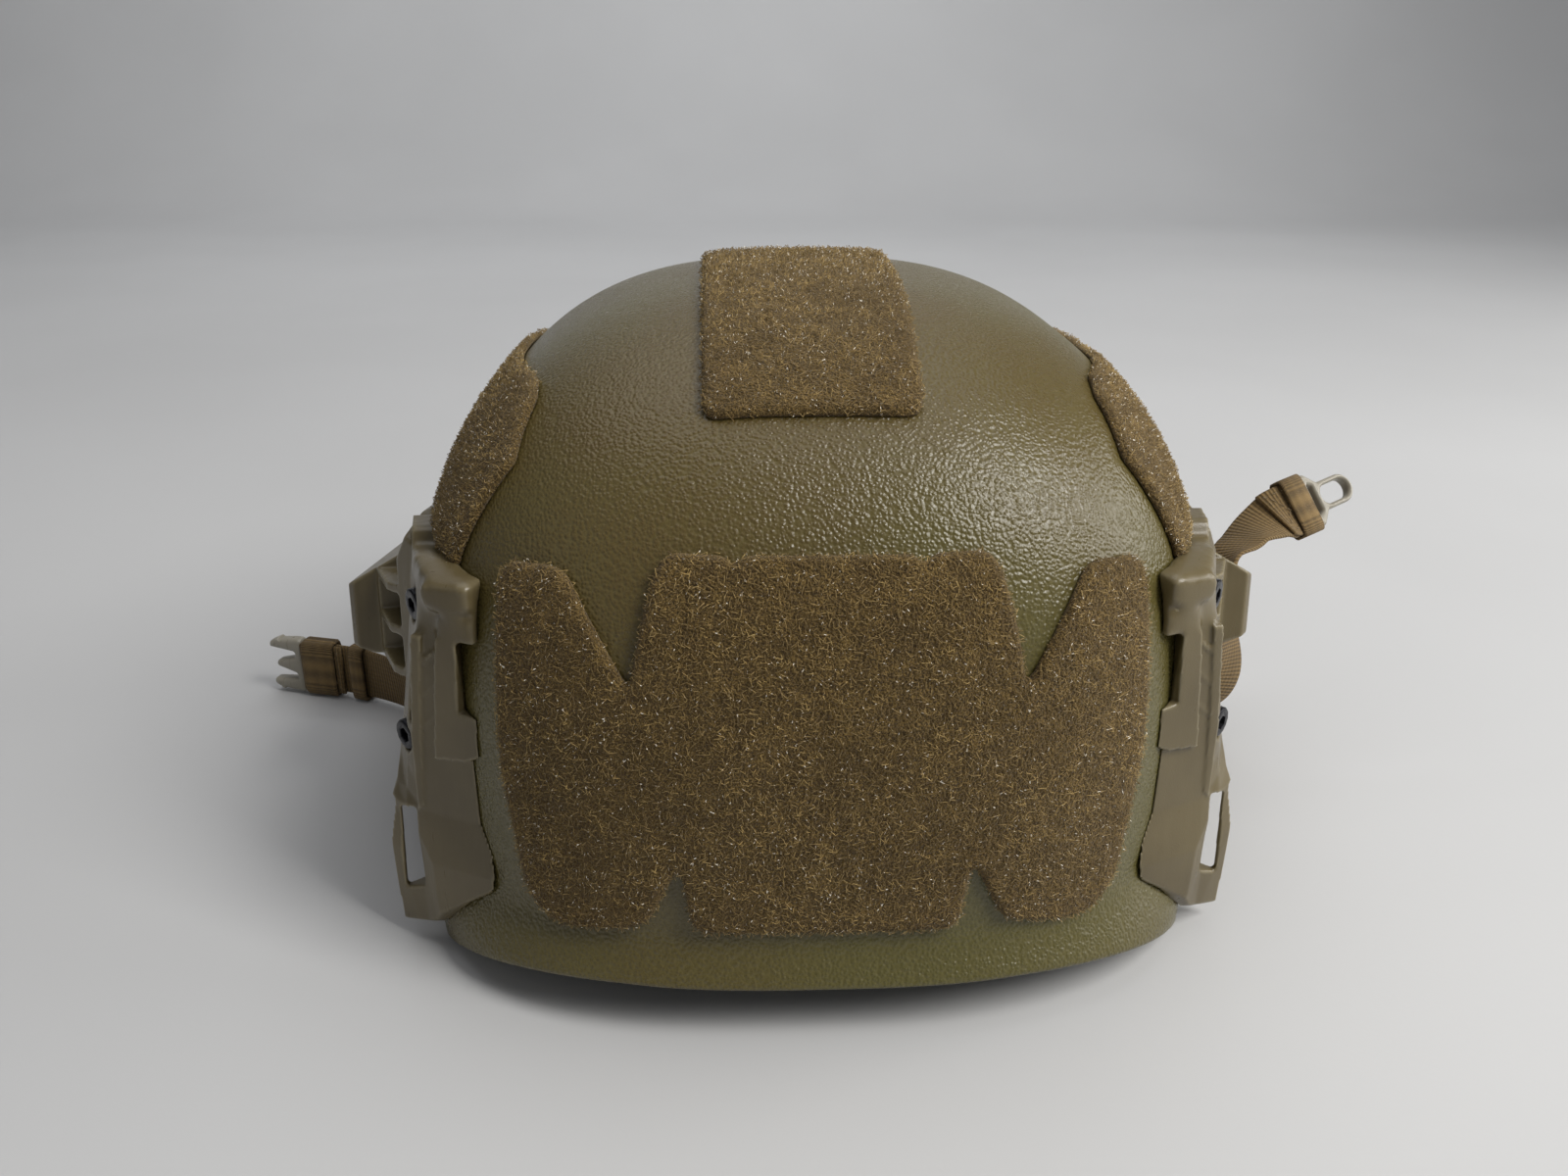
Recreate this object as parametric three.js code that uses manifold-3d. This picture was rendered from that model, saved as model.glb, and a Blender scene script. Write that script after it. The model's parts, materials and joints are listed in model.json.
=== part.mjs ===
// High-cut combat helmet, standing on its rim. Millimetres, +Z up, the front faces -Y.
// The wearer's left is +X. The origin is on the table, below the middle of the shell.
import * as THREE from "three";
import { mergeVertices } from "three/addons/utils/BufferGeometryUtils.js";
import Module from "manifold-3d";

const wasm = await Module();
wasm.setup();

// Shell: a dome with a boxy plan, cut along a rim seen from the side
const shellHalfWidth = 109;
const shellFrontReach = 124.5;
const shellRearReach = 127.5;
const shellCapRise = 106.5;
const shellSkirtDrop = 353;
const shellRingHeight = 63.5;
const shellWall = 8.5;
const planPowerShare = 3.0;
const sidePowerShare = 2.6;
const brimFlare = 8.5;
const brimFlareTop = 30;
const brimFlareFoot = 8;
const brimFlareSide = 30;
const brimRise = 15.5;
const templeReach = shellFrontReach - 36.5;
const templeFoot = 9;
const earCutHeight = 55;
const earCutFront = 28;
const earCutRear = 33;
const earCutRearHeight = 45;
const napeReach = shellRearReach - 51.5;

// Loop panels
const panelThickness = 2.6;
const panelCorner = 4;
const frontPanelHalfWidth = shellHalfWidth - 31;
const frontPanelTop = 124.3;
const frontPanelFoot = 27;
const crownPanelHalfWidth = 28;
const crownPanelFront = shellFrontReach - 34.5;
const crownPanelRear = 32;
const crownPanelShift = -2.5;
const sidePanelLean = THREE.MathUtils.degToRad(35);
const sidePanelCrest = 88;
const sidePanelFoot = 113.5;
const sidePanelFront = shellFrontReach - 27.5;
const sidePanelRear = shellRearReach - 53.5;
const rearPanelHalfWidth = 42;
const rearPanelTop = 122;
const rearPanelFoot = 62;

// Rail housing, drawn for the wearer's left side
const railTop = 110;
const railFrontReach = shellFrontReach - 20;
const railHalfWidth = shellHalfWidth + 9;
const railRoot = shellHalfWidth - 41;
const railFaceSlopeShare = 0.44;
const hoodTop = 107;
const hoodFoot = 58;
const railIncline = THREE.MathUtils.degToRad(9);
const trackReach = shellHalfWidth + 30.8;
const trackTop = 79.5;
const trackFoot = 60.5;
const trackFront = 22;
const trackRear = shellRearReach - 65.5;
const trackLip = 2.3;
const trackSlotHeight = 7;
const trackSlotDepth = 7;
const trackKeyHeight = 12.6;
const trackNotchLength = 5;
const trackNotchPitch = 16;
const trackNotchCount = 4;
const rootNotchDepth = 5;
const rootNotchFoot = 77;
const rootNotchTop = 96.5;
const railPocketLength = 14;
const railRib = 2.6;
const railPocketCount = 4;
const railPocketInner = shellHalfWidth + 4;
const railPocketOuter = trackReach - 14.8;
const railPocketTop = 86;
const faceRoot = 5;
const plateauProud = 2.2;
const bossProud = 2.8;
const ridgeProud = 1.3;
const webProud = 0.8;
const windowLean = 1.5;
const windowBarDepth = 5.5;

// Screws through rail and shell, and their nuts
const screwHeadRadius = 4.2;
const screwHeadHeight = 3;
const screwShankRadius = 2;
const socketRadius = 2.1;
const socketDepth = 1.8;
const boreRadius = 2.4;
const counterboreRadius = 4.7;
const nutRadius = 6.5;
const nutDepth = 3.5;
const frontScrewX = railHalfWidth - 17.8;
const frontScrewY = 23.4 - railFrontReach;
const frontScrewZ = 99.8;
const lowerScrewX = railHalfWidth - 9.4;
const lowerScrewY = 20.5 - railFrontReach;
const lowerScrewZ = 63;
const rearScrewX = railHalfWidth - 2;
const rearScrewY = shellRearReach - 51.5;
const rearScrewZ = 64;
const frontScrewAngle = THREE.MathUtils.degToRad(37);
const lowerScrewAngle = THREE.MathUtils.degToRad(45);
const rearScrewAngle = THREE.MathUtils.degToRad(-14);

// Liner
const hookThickness = 1.4;
const hookRadius = 15;
const padThickness = 19;
const padCrownHalf = 40;
const padFrontHalfWidth = shellHalfWidth * 0.477;
const padRearHalfWidth = shellHalfWidth * 0.422;
const padBandHalfHeight = 20;
const padSideHalfWidth = (shellFrontReach + shellRearReach) / 10;
const padSideHalfHeight = 19;
const padSideFront = shellFrontReach * 0.233;
const padSideRear = shellRearReach * 0.267;
const padRise = 27;
const padDrawInShare = 0.4;
const padChannelDepthShare = 0.22;
const padChannelWidth = 3;

// Nape retention
const carrierInset = 26;
const carrierThickness = 3;
const carrierHalfWidth = shellHalfWidth * 0.459;
const carrierFoot = 6;
const carrierTop = 36;
const dialHeight = 21;
const dialRadius = 16;
const dialDepth = 8;
const dialLobes = 16;
const dialLobeDepth = 1.1;
const dialHousingRadius = 19;
const dialHousingDepth = 5;
const dialPostRadius = 4;
const napePadThickness = 9;
const napePadHalfWidth = carrierHalfWidth * 0.84;
const napePadHalfHeight = 14;
const armWidth = 13;
const armThickness = 2.2;
const armSteps = 24;

// Harness webbing and its hardware
const webbingWidth = 20;
const webbingThickness = 1.8;
const legWidth = 15;
const legThickness = 1.6;
const legSteps = 16;
const strapLeftSteps = 36;
const strapRightSteps = 18;
const anchorThickness = 2.2;
const anchorHalfWidth = 11;
const anchorHalfHeight = 14;
const sliderX = shellHalfWidth + 6;
const sliderThickness = 6;
const sliderFront = -10;
const sliderRear = 22;
const sliderFoot = 1;
const sliderTop = 25;
const sliderWall = 3;
const sliderSlotWidth = 4.4;
const pinRadius = 1.5;
const leverBarrelRadius = 3;
const leverLength = 19;
const leverThickness = 3.2;
const buckleThickness = 6;
const plugHalfWidth = 11;
const plugBaseLength = 4;
const plugProngLength = 11.5;
const plugProngWidth = 3.6;
const socketLength = 20;
const socketHalfWidth = 10;
const socketWindow = 3.6;
const socketRim = 2;

// Fits and mesh fineness
const seatGap = 0.3;
const overrun = 20;
const mergeTolerance = 1e-4;
const domeDetail = 10;
const domeInnerDetail = 7;
const curveSegments = 3;
const roundSegments = 12;
const padSegments = 18;
const padRings = 10;

const paint = { color: 0x736b4c, roughness: 0.5, metalness: 0 };
const plastic = { color: 0x6f6650, roughness: 0.55, metalness: 0 };
const pile = { color: 0x7d6849, roughness: 1, metalness: 0 };
const blackSteel = { color: 0x17171a, roughness: 0.35, metalness: 0.8 };
const foam = { color: 0x4d4636, roughness: 0.95, metalness: 0 };
const hook = { color: 0x3d382c, roughness: 0.9, metalness: 0 };
const webbing = { color: 0x7a6238, roughness: 0.9, metalness: 0 };
const darkPlastic = { color: 0x5e5641, roughness: 0.6, metalness: 0 };

const helmet = new THREE.Group();

function addPiece(name, geometry, finish) {
  const mesh = new THREE.Mesh(geometry, new THREE.MeshStandardMaterial(finish));
  mesh.name = name;
  helmet.add(mesh);
}

function faceOutward(geometry) {
  const place = geometry.attributes.position;
  const index = geometry.index.array;
  const corner = [new THREE.Vector3(), new THREE.Vector3(), new THREE.Vector3()];
  let volume = 0;
  for (let i = 0; i < index.length; i += 3) {
    corner.forEach((point, k) => point.fromBufferAttribute(place, index[i + k]));
    volume += corner[0].dot(corner[1].clone().cross(corner[2]));
  }
  if (volume < 0) {
    for (let i = 0; i < index.length; i += 3) {
      [index[i], index[i + 1]] = [index[i + 1], index[i]];
    }
  }
  return geometry;
}

function welded(geometry) {
  const bare = geometry.clone();
  bare.deleteAttribute("normal");
  bare.deleteAttribute("uv");
  return faceOutward(mergeVertices(bare, mergeTolerance));
}

function toSolid(geometry) {
  const bare = welded(geometry);
  const vertProperties = Float32Array.from(bare.attributes.position.array);
  const triVerts = Uint32Array.from(bare.index.array);
  return new wasm.Manifold(new wasm.Mesh({ numProp: 3, vertProperties, triVerts }));
}

function toGeometry(solid) {
  const { vertProperties, triVerts } = solid.getMesh();
  const geometry = new THREE.BufferGeometry();
  geometry.setAttribute("position", new THREE.BufferAttribute(vertProperties, 3));
  geometry.setIndex(new THREE.BufferAttribute(triVerts, 1));
  return geometry;
}

function mirrored(geometry) {
  const copy = welded(geometry);
  copy.scale(-1, 1, 1);
  return faceOutward(copy);
}

const eastAxis = new THREE.Vector3(1, 0, 0);
const rearAxis = new THREE.Vector3(0, 1, 0);
const upAxis = new THREE.Vector3(0, 0, 1);
const sideView = new THREE.Matrix4().makeBasis(rearAxis, upAxis, eastAxis);
const frontView = new THREE.Matrix4().makeBasis(eastAxis, upAxis, rearAxis.clone().negate());

// A prism of an outline drawn in (y, z), from one x to another
function prismAlongX(outline, from, to) {
  const prism = new THREE.ExtrudeGeometry(outline, { depth: to - from, bevelEnabled: false, curveSegments });
  return toSolid(prism.translate(0, 0, from).applyMatrix4(sideView));
}

// A prism of an outline drawn in (x, z), from one y to another
function prismAlongY(outline, from, to) {
  const prism = new THREE.ExtrudeGeometry(outline, { depth: to - from, bevelEnabled: false, curveSegments });
  return toSolid(prism.translate(0, 0, -to).applyMatrix4(frontView));
}

// A prism of an outline drawn in (x, y), from one height to another
function prismAlongZ(outline, from, to) {
  const prism = new THREE.ExtrudeGeometry(outline, { depth: to - from, bevelEnabled: false, curveSegments });
  return toSolid(prism.translate(0, 0, from));
}

function polygon(points) {
  return new THREE.Shape(points.map(([u, v]) => new THREE.Vector2(u, v)));
}

function rectangle(left, foot, right, top) {
  return polygon([[left, foot], [right, foot], [right, top], [left, top]]);
}

// A closed outline whose corners are rounded, each by no more than its sides allow
function roundedOutline(points, radius) {
  const outline = new THREE.Shape();
  const corners = points.map(([u, v]) => new THREE.Vector2(u, v));
  corners.forEach((corner, i) => {
    const before = corners[(i + corners.length - 1) % corners.length].clone().sub(corner);
    const after = corners[(i + 1) % corners.length].clone().sub(corner);
    const cut = Math.min(radius, before.length() * 0.45, after.length() * 0.45);
    const start = corner.clone().add(before.setLength(cut));
    const end = corner.clone().add(after.setLength(cut));
    if (i === 0) {
      outline.moveTo(start.x, start.y);
    } else {
      outline.lineTo(start.x, start.y);
    }
    outline.quadraticCurveTo(corner.x, corner.y, end.x, end.y);
  });
  outline.closePath();
  return outline;
}

// A solid through rings of points, each ring convex and in the same order
function loft(rings) {
  const count = rings[0].length;
  const index = [];
  for (let r = 0; r < rings.length - 1; r += 1) {
    for (let i = 0; i < count; i += 1) {
      const a = r * count + i;
      const b = r * count + ((i + 1) % count);
      index.push(a, b, b + count, a, b + count, a + count);
    }
  }
  const last = (rings.length - 1) * count;
  for (let i = 1; i < count - 1; i += 1) {
    index.push(0, i + 1, i, last, last + i, last + i + 1);
  }
  const places = rings.flat().flatMap((point) => point.toArray());
  const geometry = new THREE.BufferGeometry();
  geometry.setAttribute("position", new THREE.Float32BufferAttribute(places, 3));
  geometry.setIndex(index);
  return faceOutward(geometry);
}

// Webbing or a flat band along a route. Each stop is [x, y, z, spread x, spread y, spread z].
function ribbon(stops, width, thickness, steps) {
  const route = new THREE.CatmullRomCurve3(stops.map(([x, y, z]) => new THREE.Vector3(x, y, z)));
  const spreads = new THREE.CatmullRomCurve3(stops.map((stop) => new THREE.Vector3(...stop.slice(3))));
  const rings = [];
  for (let i = 0; i <= steps; i += 1) {
    const centre = route.getPoint(i / steps);
    const along = route.getTangent(i / steps);
    const spread = spreads.getPoint(i / steps);
    spread.addScaledVector(along, -spread.dot(along)).setLength(width / 2);
    const face = along.clone().cross(spread).setLength(thickness / 2);
    const corners = [[1, 1], [-1, 1], [-1, -1], [1, -1]];
    rings.push(corners.map(([s, f]) => centre.clone().addScaledVector(spread, s).addScaledVector(face, f)));
  }
  return loft(rings);
}

// Radius of the dome, grown outward by a margin, in a direction from the centre of its widest ring
function domeRadius(direction, grow) {
  const reach = (direction.y < 0 ? shellFrontReach : shellRearReach) + grow;
  const rise = (direction.z > 0 ? shellCapRise : shellSkirtDrop) + grow;
  const across = Math.abs(direction.x / (shellHalfWidth + grow)) ** planPowerShare;
  const along = Math.abs(direction.y / reach) ** planPowerShare;
  const plan = (across + along) ** (sidePowerShare / planPowerShare);
  return (plan + Math.abs(direction.z / rise) ** sidePowerShare) ** (-1 / sidePowerShare);
}

function domePoint(direction, grow) {
  const point = direction.clone().setLength(1);
  point.multiplyScalar(domeRadius(point, grow));
  point.z += shellRingHeight;
  const low = 1 - THREE.MathUtils.smoothstep(point.z, brimFlareFoot, brimFlareTop);
  const ahead = THREE.MathUtils.smoothstep(-point.y, brimFlareSide, templeReach);
  const spread = 1 + (brimFlare * low * ahead) / Math.hypot(point.x, point.y, mergeTolerance);
  point.x *= spread;
  point.y *= spread;
  return point;
}

// How far out the dome's wall stands at one depth and height
function domeSide(y, z, grow) {
  const reach = (y < 0 ? shellFrontReach : shellRearReach) + grow;
  const rise = (z > shellRingHeight ? shellCapRise : shellSkirtDrop) + grow;
  const climb = Math.abs((z - shellRingHeight) / rise);
  const drawIn = (1 - climb ** sidePowerShare) ** (planPowerShare / sidePowerShare);
  return (shellHalfWidth + grow) * (drawIn - Math.abs(y / reach) ** planPowerShare) ** (1 / planPowerShare);
}

function domeRear(x, z, grow) {
  const rise = (z > shellRingHeight ? shellCapRise : shellSkirtDrop) + grow;
  const climb = Math.abs((z - shellRingHeight) / rise);
  const drawIn = (1 - climb ** sidePowerShare) ** (planPowerShare / sidePowerShare);
  const across = Math.abs(x / (shellHalfWidth + grow)) ** planPowerShare;
  return (shellRearReach + grow) * (drawIn - across) ** (1 / planPowerShare);
}

const domeCache = new Map();

function dome(grow) {
  if (!domeCache.has(grow)) {
    const ball = new THREE.IcosahedronGeometry(1, grow < 0 ? domeInnerDetail : domeDetail);
    const place = ball.attributes.position;
    const direction = new THREE.Vector3();
    for (let i = 0; i < place.count; i += 1) {
      direction.fromBufferAttribute(place, i);
      place.setXYZ(i, ...domePoint(direction, grow).toArray());
    }
    domeCache.set(grow, toSolid(ball));
  }
  return domeCache.get(grow);
}

// The layer between two margins of the dome, kept inside an outline's prism
function domeLayer(inner, outer, prism) {
  return dome(outer).subtract(dome(inner)).intersect(prism);
}

// Screw sites: a point on the rail's outer face, its heading and how deep the shell's inner face lies
function screwSite(x, y, z, angle) {
  const outward = new THREE.Vector3(Math.cos(angle), -Math.sin(angle), 0);
  const start = new THREE.Vector3(x, y, z);
  const centre = new THREE.Vector3(0, 0, shellRingHeight);
  let near = 0;
  let far = shellHalfWidth / 2;
  for (let i = 0; i < 40; i += 1) {
    const middle = (near + far) / 2;
    const probe = start.clone().addScaledVector(outward, -middle).sub(centre);
    const inside = probe.length() < domeRadius(probe.clone().normalize(), -shellWall);
    near = inside ? near : middle;
    far = inside ? middle : far;
  }
  return { start, outward, angle, depth: far };
}

const screwSites = {
  front: screwSite(frontScrewX, frontScrewY, frontScrewZ, frontScrewAngle),
  lower: screwSite(lowerScrewX, lowerScrewY, lowerScrewZ, lowerScrewAngle),
  rear: screwSite(rearScrewX, rearScrewY, rearScrewZ, rearScrewAngle),
};

// Puts a part drawn about its own +Y axis, zero at the rail's face, onto a screw site
function onSite(geometry, site) {
  const turn = new THREE.Quaternion().setFromUnitVectors(rearAxis, site.outward);
  return geometry.applyQuaternion(turn).translate(...site.start.toArray());
}

function cylinderOnSite(radius, from, to, site) {
  const rod = new THREE.CylinderGeometry(radius, radius, to - from, roundSegments);
  return toSolid(onSite(rod.translate(0, (from + to) / 2, 0), site));
}

function railBores() {
  const sites = Object.values(screwSites);
  const bores = sites.map((site) => cylinderOnSite(boreRadius, -site.depth - overrun, overrun, site));
  const seatFloor = -screwHeadHeight - seatGap;
  const seats = sites.map((site) => cylinderOnSite(counterboreRadius, seatFloor, overrun, site));
  return { bores, seats };
}

function rimOutline() {
  const front = shellFrontReach + brimFlare + overrun;
  const rear = shellRearReach + overrun;
  const top = shellRingHeight + shellCapRise + overrun;
  const crease = shellFrontReach + brimFlare / 4;
  const bend = templeReach - templeFoot;
  const rim = new THREE.Shape();
  rim.moveTo(-front, top);
  rim.lineTo(-front, brimRise);
  rim.lineTo(-crease, brimRise);
  const turn = (crease + templeReach + templeFoot / 2 + brimFlare) / 2;
  rim.quadraticCurveTo(-turn, brimRise - brimFlare / 4, -templeReach, 0);
  rim.lineTo(-bend, 0);
  const [low, high] = [(2 * bend + earCutFront) / 3, (bend + 2 * earCutFront) / 3];
  rim.bezierCurveTo(-low, 0, -high, earCutHeight, -earCutFront, earCutHeight);
  rim.lineTo(earCutRear, earCutRearHeight);
  const [leave, land] = [(napeReach + earCutRear) / 2, (2 * napeReach + earCutRear) / 3];
  rim.bezierCurveTo(leave, earCutRearHeight, land, 0, napeReach, 0);
  rim.lineTo(rear, 0);
  rim.lineTo(rear, top);
  return rim;
}

function makeShell() {
  const sides = shellHalfWidth + brimFlare + overrun;
  let shell = domeLayer(-shellWall, 0, prismAlongX(rimOutline(), -sides, sides));
  for (const bore of railBores().bores) {
    shell = shell.subtract(bore).subtract(toSolid(mirrored(toGeometry(bore))));
  }
  addPiece("shell", toGeometry(shell), paint);
}

// Half outline of the front panel, from the top centre down to the bottom centre:
// shares of its half width and of its height
const frontPanelShares = [
  [0.244, 0.997], [0.27, 0.975], [0.302, 0.997], [0.456, 1], [0.5, 0.961], [0.551, 0.812], [0.577, 0.689],
  [0.769, 0.952], [0.936, 0.938], [0.974, 0.894], [0.99, 0.663], [1, 0.421], [0.949, 0.072], [0.868, 0],
  [0.769, 0], [0.559, 0.041], [0.45, 0.232], [0.415, 0.031],
];

function makePanels() {
  const height = frontPanelTop - frontPanelFoot;
  const right = frontPanelShares.map(([u, v]) => [u * frontPanelHalfWidth, frontPanelFoot + v * height]);
  const left = right.map(([u, v]) => [-u, v]).reverse();
  const front = prismAlongY(roundedOutline([...right, ...left], panelCorner), -shellFrontReach - overrun, 0);
  const rear = prismAlongY(roundedOutline([
    [-rearPanelHalfWidth, rearPanelFoot], [rearPanelHalfWidth, rearPanelFoot],
    [rearPanelHalfWidth, rearPanelTop], [-rearPanelHalfWidth, rearPanelTop],
  ], panelCorner * 2), 0, shellRearReach + overrun);
  const crown = prismAlongZ(roundedOutline([
    [crownPanelShift - crownPanelHalfWidth * 0.92, -crownPanelFront],
    [crownPanelShift + crownPanelHalfWidth * 0.92, -crownPanelFront],
    [crownPanelShift + crownPanelHalfWidth, crownPanelRear],
    [crownPanelShift - crownPanelHalfWidth, crownPanelRear],
  ], panelCorner * 1.5), shellRingHeight, shellRingHeight + shellCapRise + overrun);
  const layers = { loop_front: front, loop_crown: crown, loop_rear: rear };
  for (const [name, prism] of Object.entries(layers)) {
    addPiece(name, toGeometry(domeLayer(seatGap, seatGap + panelThickness, prism)), pile);
  }
}

// Side panel outline on a plane that leans with the shell's shoulder: shares of its front or rear reach,
// and of its crest
const sidePanelShares = [
  [-0.885, 0.23], [-0.89, 0.55], [-0.905, 0.65], [-0.865, 0.79], [-0.68, 0.92], [-0.58, 0.94],
  [-0.31, 0.87], [0.05, 0.8], [0.7, 0.77], [0.95, 0.68], [1, 0.4], [1, 0.23],
];

function makeSidePanels() {
  const reach = (u) => u * (u < 0 ? sidePanelFront : sidePanelRear);
  const points = sidePanelShares.map(([u, v]) => [reach(u), v * sidePanelCrest]);
  const leaning = toGeometry(prismAlongX(roundedOutline(points, panelCorner), 0, shellHalfWidth * 2));
  leaning.rotateY(-sidePanelLean);
  const top = shellRingHeight + shellCapRise;
  const railDrop = (sidePanelRear + trackFront) * Math.tan(railIncline);
  const above = polygon([
    [-sidePanelFront - overrun, sidePanelFoot], [-trackFront * 2, sidePanelFoot],
    [sidePanelRear + overrun, sidePanelFoot - railDrop], [sidePanelRear + overrun, top],
    [-sidePanelFront - overrun, top],
  ]);
  const prism = toSolid(leaning).intersect(prismAlongX(above, 0, shellHalfWidth + overrun));
  const panel = toGeometry(domeLayer(seatGap, seatGap + panelThickness, prism));
  addPiece("loop_side_left", panel, pile);
  addPiece("loop_side_right", mirrored(panel), pile);
}

// Sections of the rail's front block, from the foot up. Shares of the block's height, then of its
// half width and front reach in turn for the face's outer edge, the bevel, the side and the back.
const railBlockShares = [
  [0, 0.862, 0.909, 0.907, 0.861, 0.985, 0.804, 1, 0.593],
  [0.27, 0.87, 0.904, 0.905, 0.86, 0.98, 0.813, 1, 0.574],
  [0.4, 0.882, 0.87, 0.925, 0.845, 0.968, 0.804, 0.988, 0.574],
  [0.44, 0.882, 0.87, 0.922, 0.83, 0.955, 0.79, 0.985, 0.5],
  [0.51, 0.88, 0.871, 0.918, 0.82, 0.948, 0.746, 0.982, 0.459],
  [0.62, 0.876, 0.87, 0.905, 0.822, 0.93, 0.734, 0.972, 0.45],
  [0.77, 0.864, 0.876, 0.885, 0.818, 0.908, 0.725, 0.955, 0.44],
  [0.87, 0.843, 0.88, 0.862, 0.825, 0.893, 0.72, 0.95, 0.44],
  [0.92, 0.822, 0.89, 0.853, 0.835, 0.885, 0.715, 0.94, 0.44],
  [1.024, 0.806, 0.895, 0.83, 0.85, 0.878, 0.708, 0.93, 0.44],
];

// Relief on the block's face, drawn in shares of the block's height: how far each corner lies
// inward of the face's outer edge, then how high. A hooked plateau, a boss and an upright ridge.
const railPlateauShares = [
  [0.029, 0.936], [0.14, 0.941], [0.14, 0.875], [0.078, 0.871], [0.063, 0.7], [0.125, 0.696],
  [0.125, 0.6], [0.073, 0.577], [-0.02, 0.564], [-0.015, 0.6], [0.005, 0.764], [0.025, 0.9],
];
const railBossShares = [
  [-0.008, 1], [0.006, 1.015], [0.14, 1.024], [0.14, 0.952], [0.025, 0.945], [-0.006, 0.95],
];
const railRidgeShares = [
  [-0.022, 0.875], [-0.039, 0.75], [-0.057, 0.6], [-0.073, 0.42], [-0.095, 0.4], [-0.087, 0.6],
  [-0.067, 0.75], [-0.05, 0.875],
];
const railInnerEndShares = [[0.128, 1.2], [0.5, 1.2], [0.5, 0.874], [0.128, 0.874]];
const railGrooveShares = [[-0.056, 0.83], [-0.073, 0.83], [-0.109, 0.627], [-0.093, 0.627]];

// Side outline of the whole rail: shares of its front reach and of its height
const railSideShares = [
  [-0.7, 1.01], [-0.95, 1.05], [-1.01, 1], [-1.01, 0.47], [-1, 0.3], [-0.99, 0.26], [-0.94, 0.18],
  [-0.88, 0.08],
  [-0.8, 0.036], [-0.6, 0.043], [-0.545, 0.11], [-0.38, 0.41], [-0.258, 0.527], [0.455, 0.42], [0.68, 0.4],
  [0.82, 0.29], [0.91, 0.36], [0.81, 0.62], [0.6, 0.83], [0.3, 0.93], [-0.575, 1.02], [-0.6, 0.98],
];

// Cross-section of the hood and track, seen from the front
function railCrossSection() {
  return polygon([
    [railRoot, hoodFoot], [trackReach - trackSlotDepth, hoodFoot],
    [trackReach, trackFoot], [trackReach, trackTop],
    [railHalfWidth * 0.993, hoodTop * 0.865], [railHalfWidth * 0.956, hoodTop * 0.94],
    [railHalfWidth * 0.928, hoodTop * 0.99], [railHalfWidth * 0.9, hoodTop], [railRoot, hoodTop],
  ]);
}

// The hood and track dip towards the nape
function inclined(solid) {
  const level = toGeometry(solid);
  level.translate(0, trackFront, -trackTop).rotateX(-railIncline).translate(0, -trackFront, trackTop);
  return toSolid(level);
}

function railPlanOutline() {
  return polygon([
    [railRoot, -railFrontReach * 0.53], [railHalfWidth * 0.92, -railFrontReach * 0.53],
    [railHalfWidth * 1.03, -railFrontReach * 0.4],
    [trackReach - trackSlotDepth - railRib, -trackFront], [trackReach - trackLip, -trackFront],
    [trackReach, -trackFront + trackLip], [trackReach, trackRear],
    [trackReach - trackSlotDepth, trackRear + trackLip],
    [rearScrewX + Math.sin(-rearScrewAngle) * nutRadius * 1.4, rearScrewY - nutRadius * 1.4],
    [rearScrewX - Math.sin(-rearScrewAngle) * nutRadius * 1.4, rearScrewY + nutRadius * 1.4],
    [rearScrewX - nutRadius, rearScrewY + nutRadius * 3], [railRoot, rearScrewY + nutRadius * 3],
  ]);
}

function railBlock() {
  const rings = railBlockShares.map(([h, ...edges]) => {
    const z = h * railTop;
    const points = [];
    for (let i = 0; i < edges.length; i += 2) {
      points.push(new THREE.Vector3(edges[i] * railHalfWidth, -edges[i + 1] * railFrontReach, z));
    }
    const rootReach = (points[0].x - railRoot) * railFaceSlopeShare;
    const rootFront = new THREE.Vector3(railRoot, points[0].y - rootReach, z);
    const rootRear = new THREE.Vector3(railRoot, points.at(-1).y, z);
    return [rootFront, ...points, rootRear];
  });
  return toSolid(loft(rings));
}

// The block's face: the level line along it, the way it looks, and a point on its outer edge
function faceFrame() {
  const slope = Math.hypot(1, railFaceSlopeShare);
  const along = new THREE.Vector3(-1 / slope, -railFaceSlopeShare / slope, 0);
  const proud = along.clone().cross(upAxis).negate();
  const edge = new THREE.Vector3(railHalfWidth * 0.81, -railFrontReach * 0.897, 0);
  return { along, proud, edge };
}

// A prism that stands off the face, its outline in (inward of the outer edge, height)
function prismOffFace(shares, from, to) {
  const { along, proud, edge } = faceFrame();
  const outline = polygon(shares.map(([inward, height]) => [inward * railTop, height * railTop]).reverse());
  const prism = new THREE.ExtrudeGeometry(outline, { depth: to - from, bevelEnabled: false, curveSegments });
  prism.translate(0, 0, from - to);
  const frame = new THREE.Matrix4().makeBasis(along, upAxis, proud.clone().negate());
  return toSolid(prism.applyMatrix4(frame.setPosition(edge.addScaledVector(proud, from))));
}

// Slanting webs across the channel between the ridge and the plateau
function railWebs() {
  return [0, 1, 2].map((i) => {
    const low = 0.63 + i * 0.085;
    const near = railRidgeShares[0][0] - (railRidgeShares[0][1] - low) * 0.14;
    const web = [[near, low], [near, low + 0.011], [near + 0.05, low + 0.053], [near + 0.05, low + 0.042]];
    return prismOffFace(web, -faceRoot, webProud);
  });
}

function railRelief() {
  const plateau = prismOffFace(railPlateauShares, -faceRoot, plateauProud);
  const boss = prismOffFace(railBossShares, -faceRoot, bossProud);
  const ridge = prismOffFace(railRidgeShares, -faceRoot, ridgeProud);
  return railWebs().reduce((whole, web) => whole.add(web), plateau.add(boss).add(ridge));
}

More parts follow.
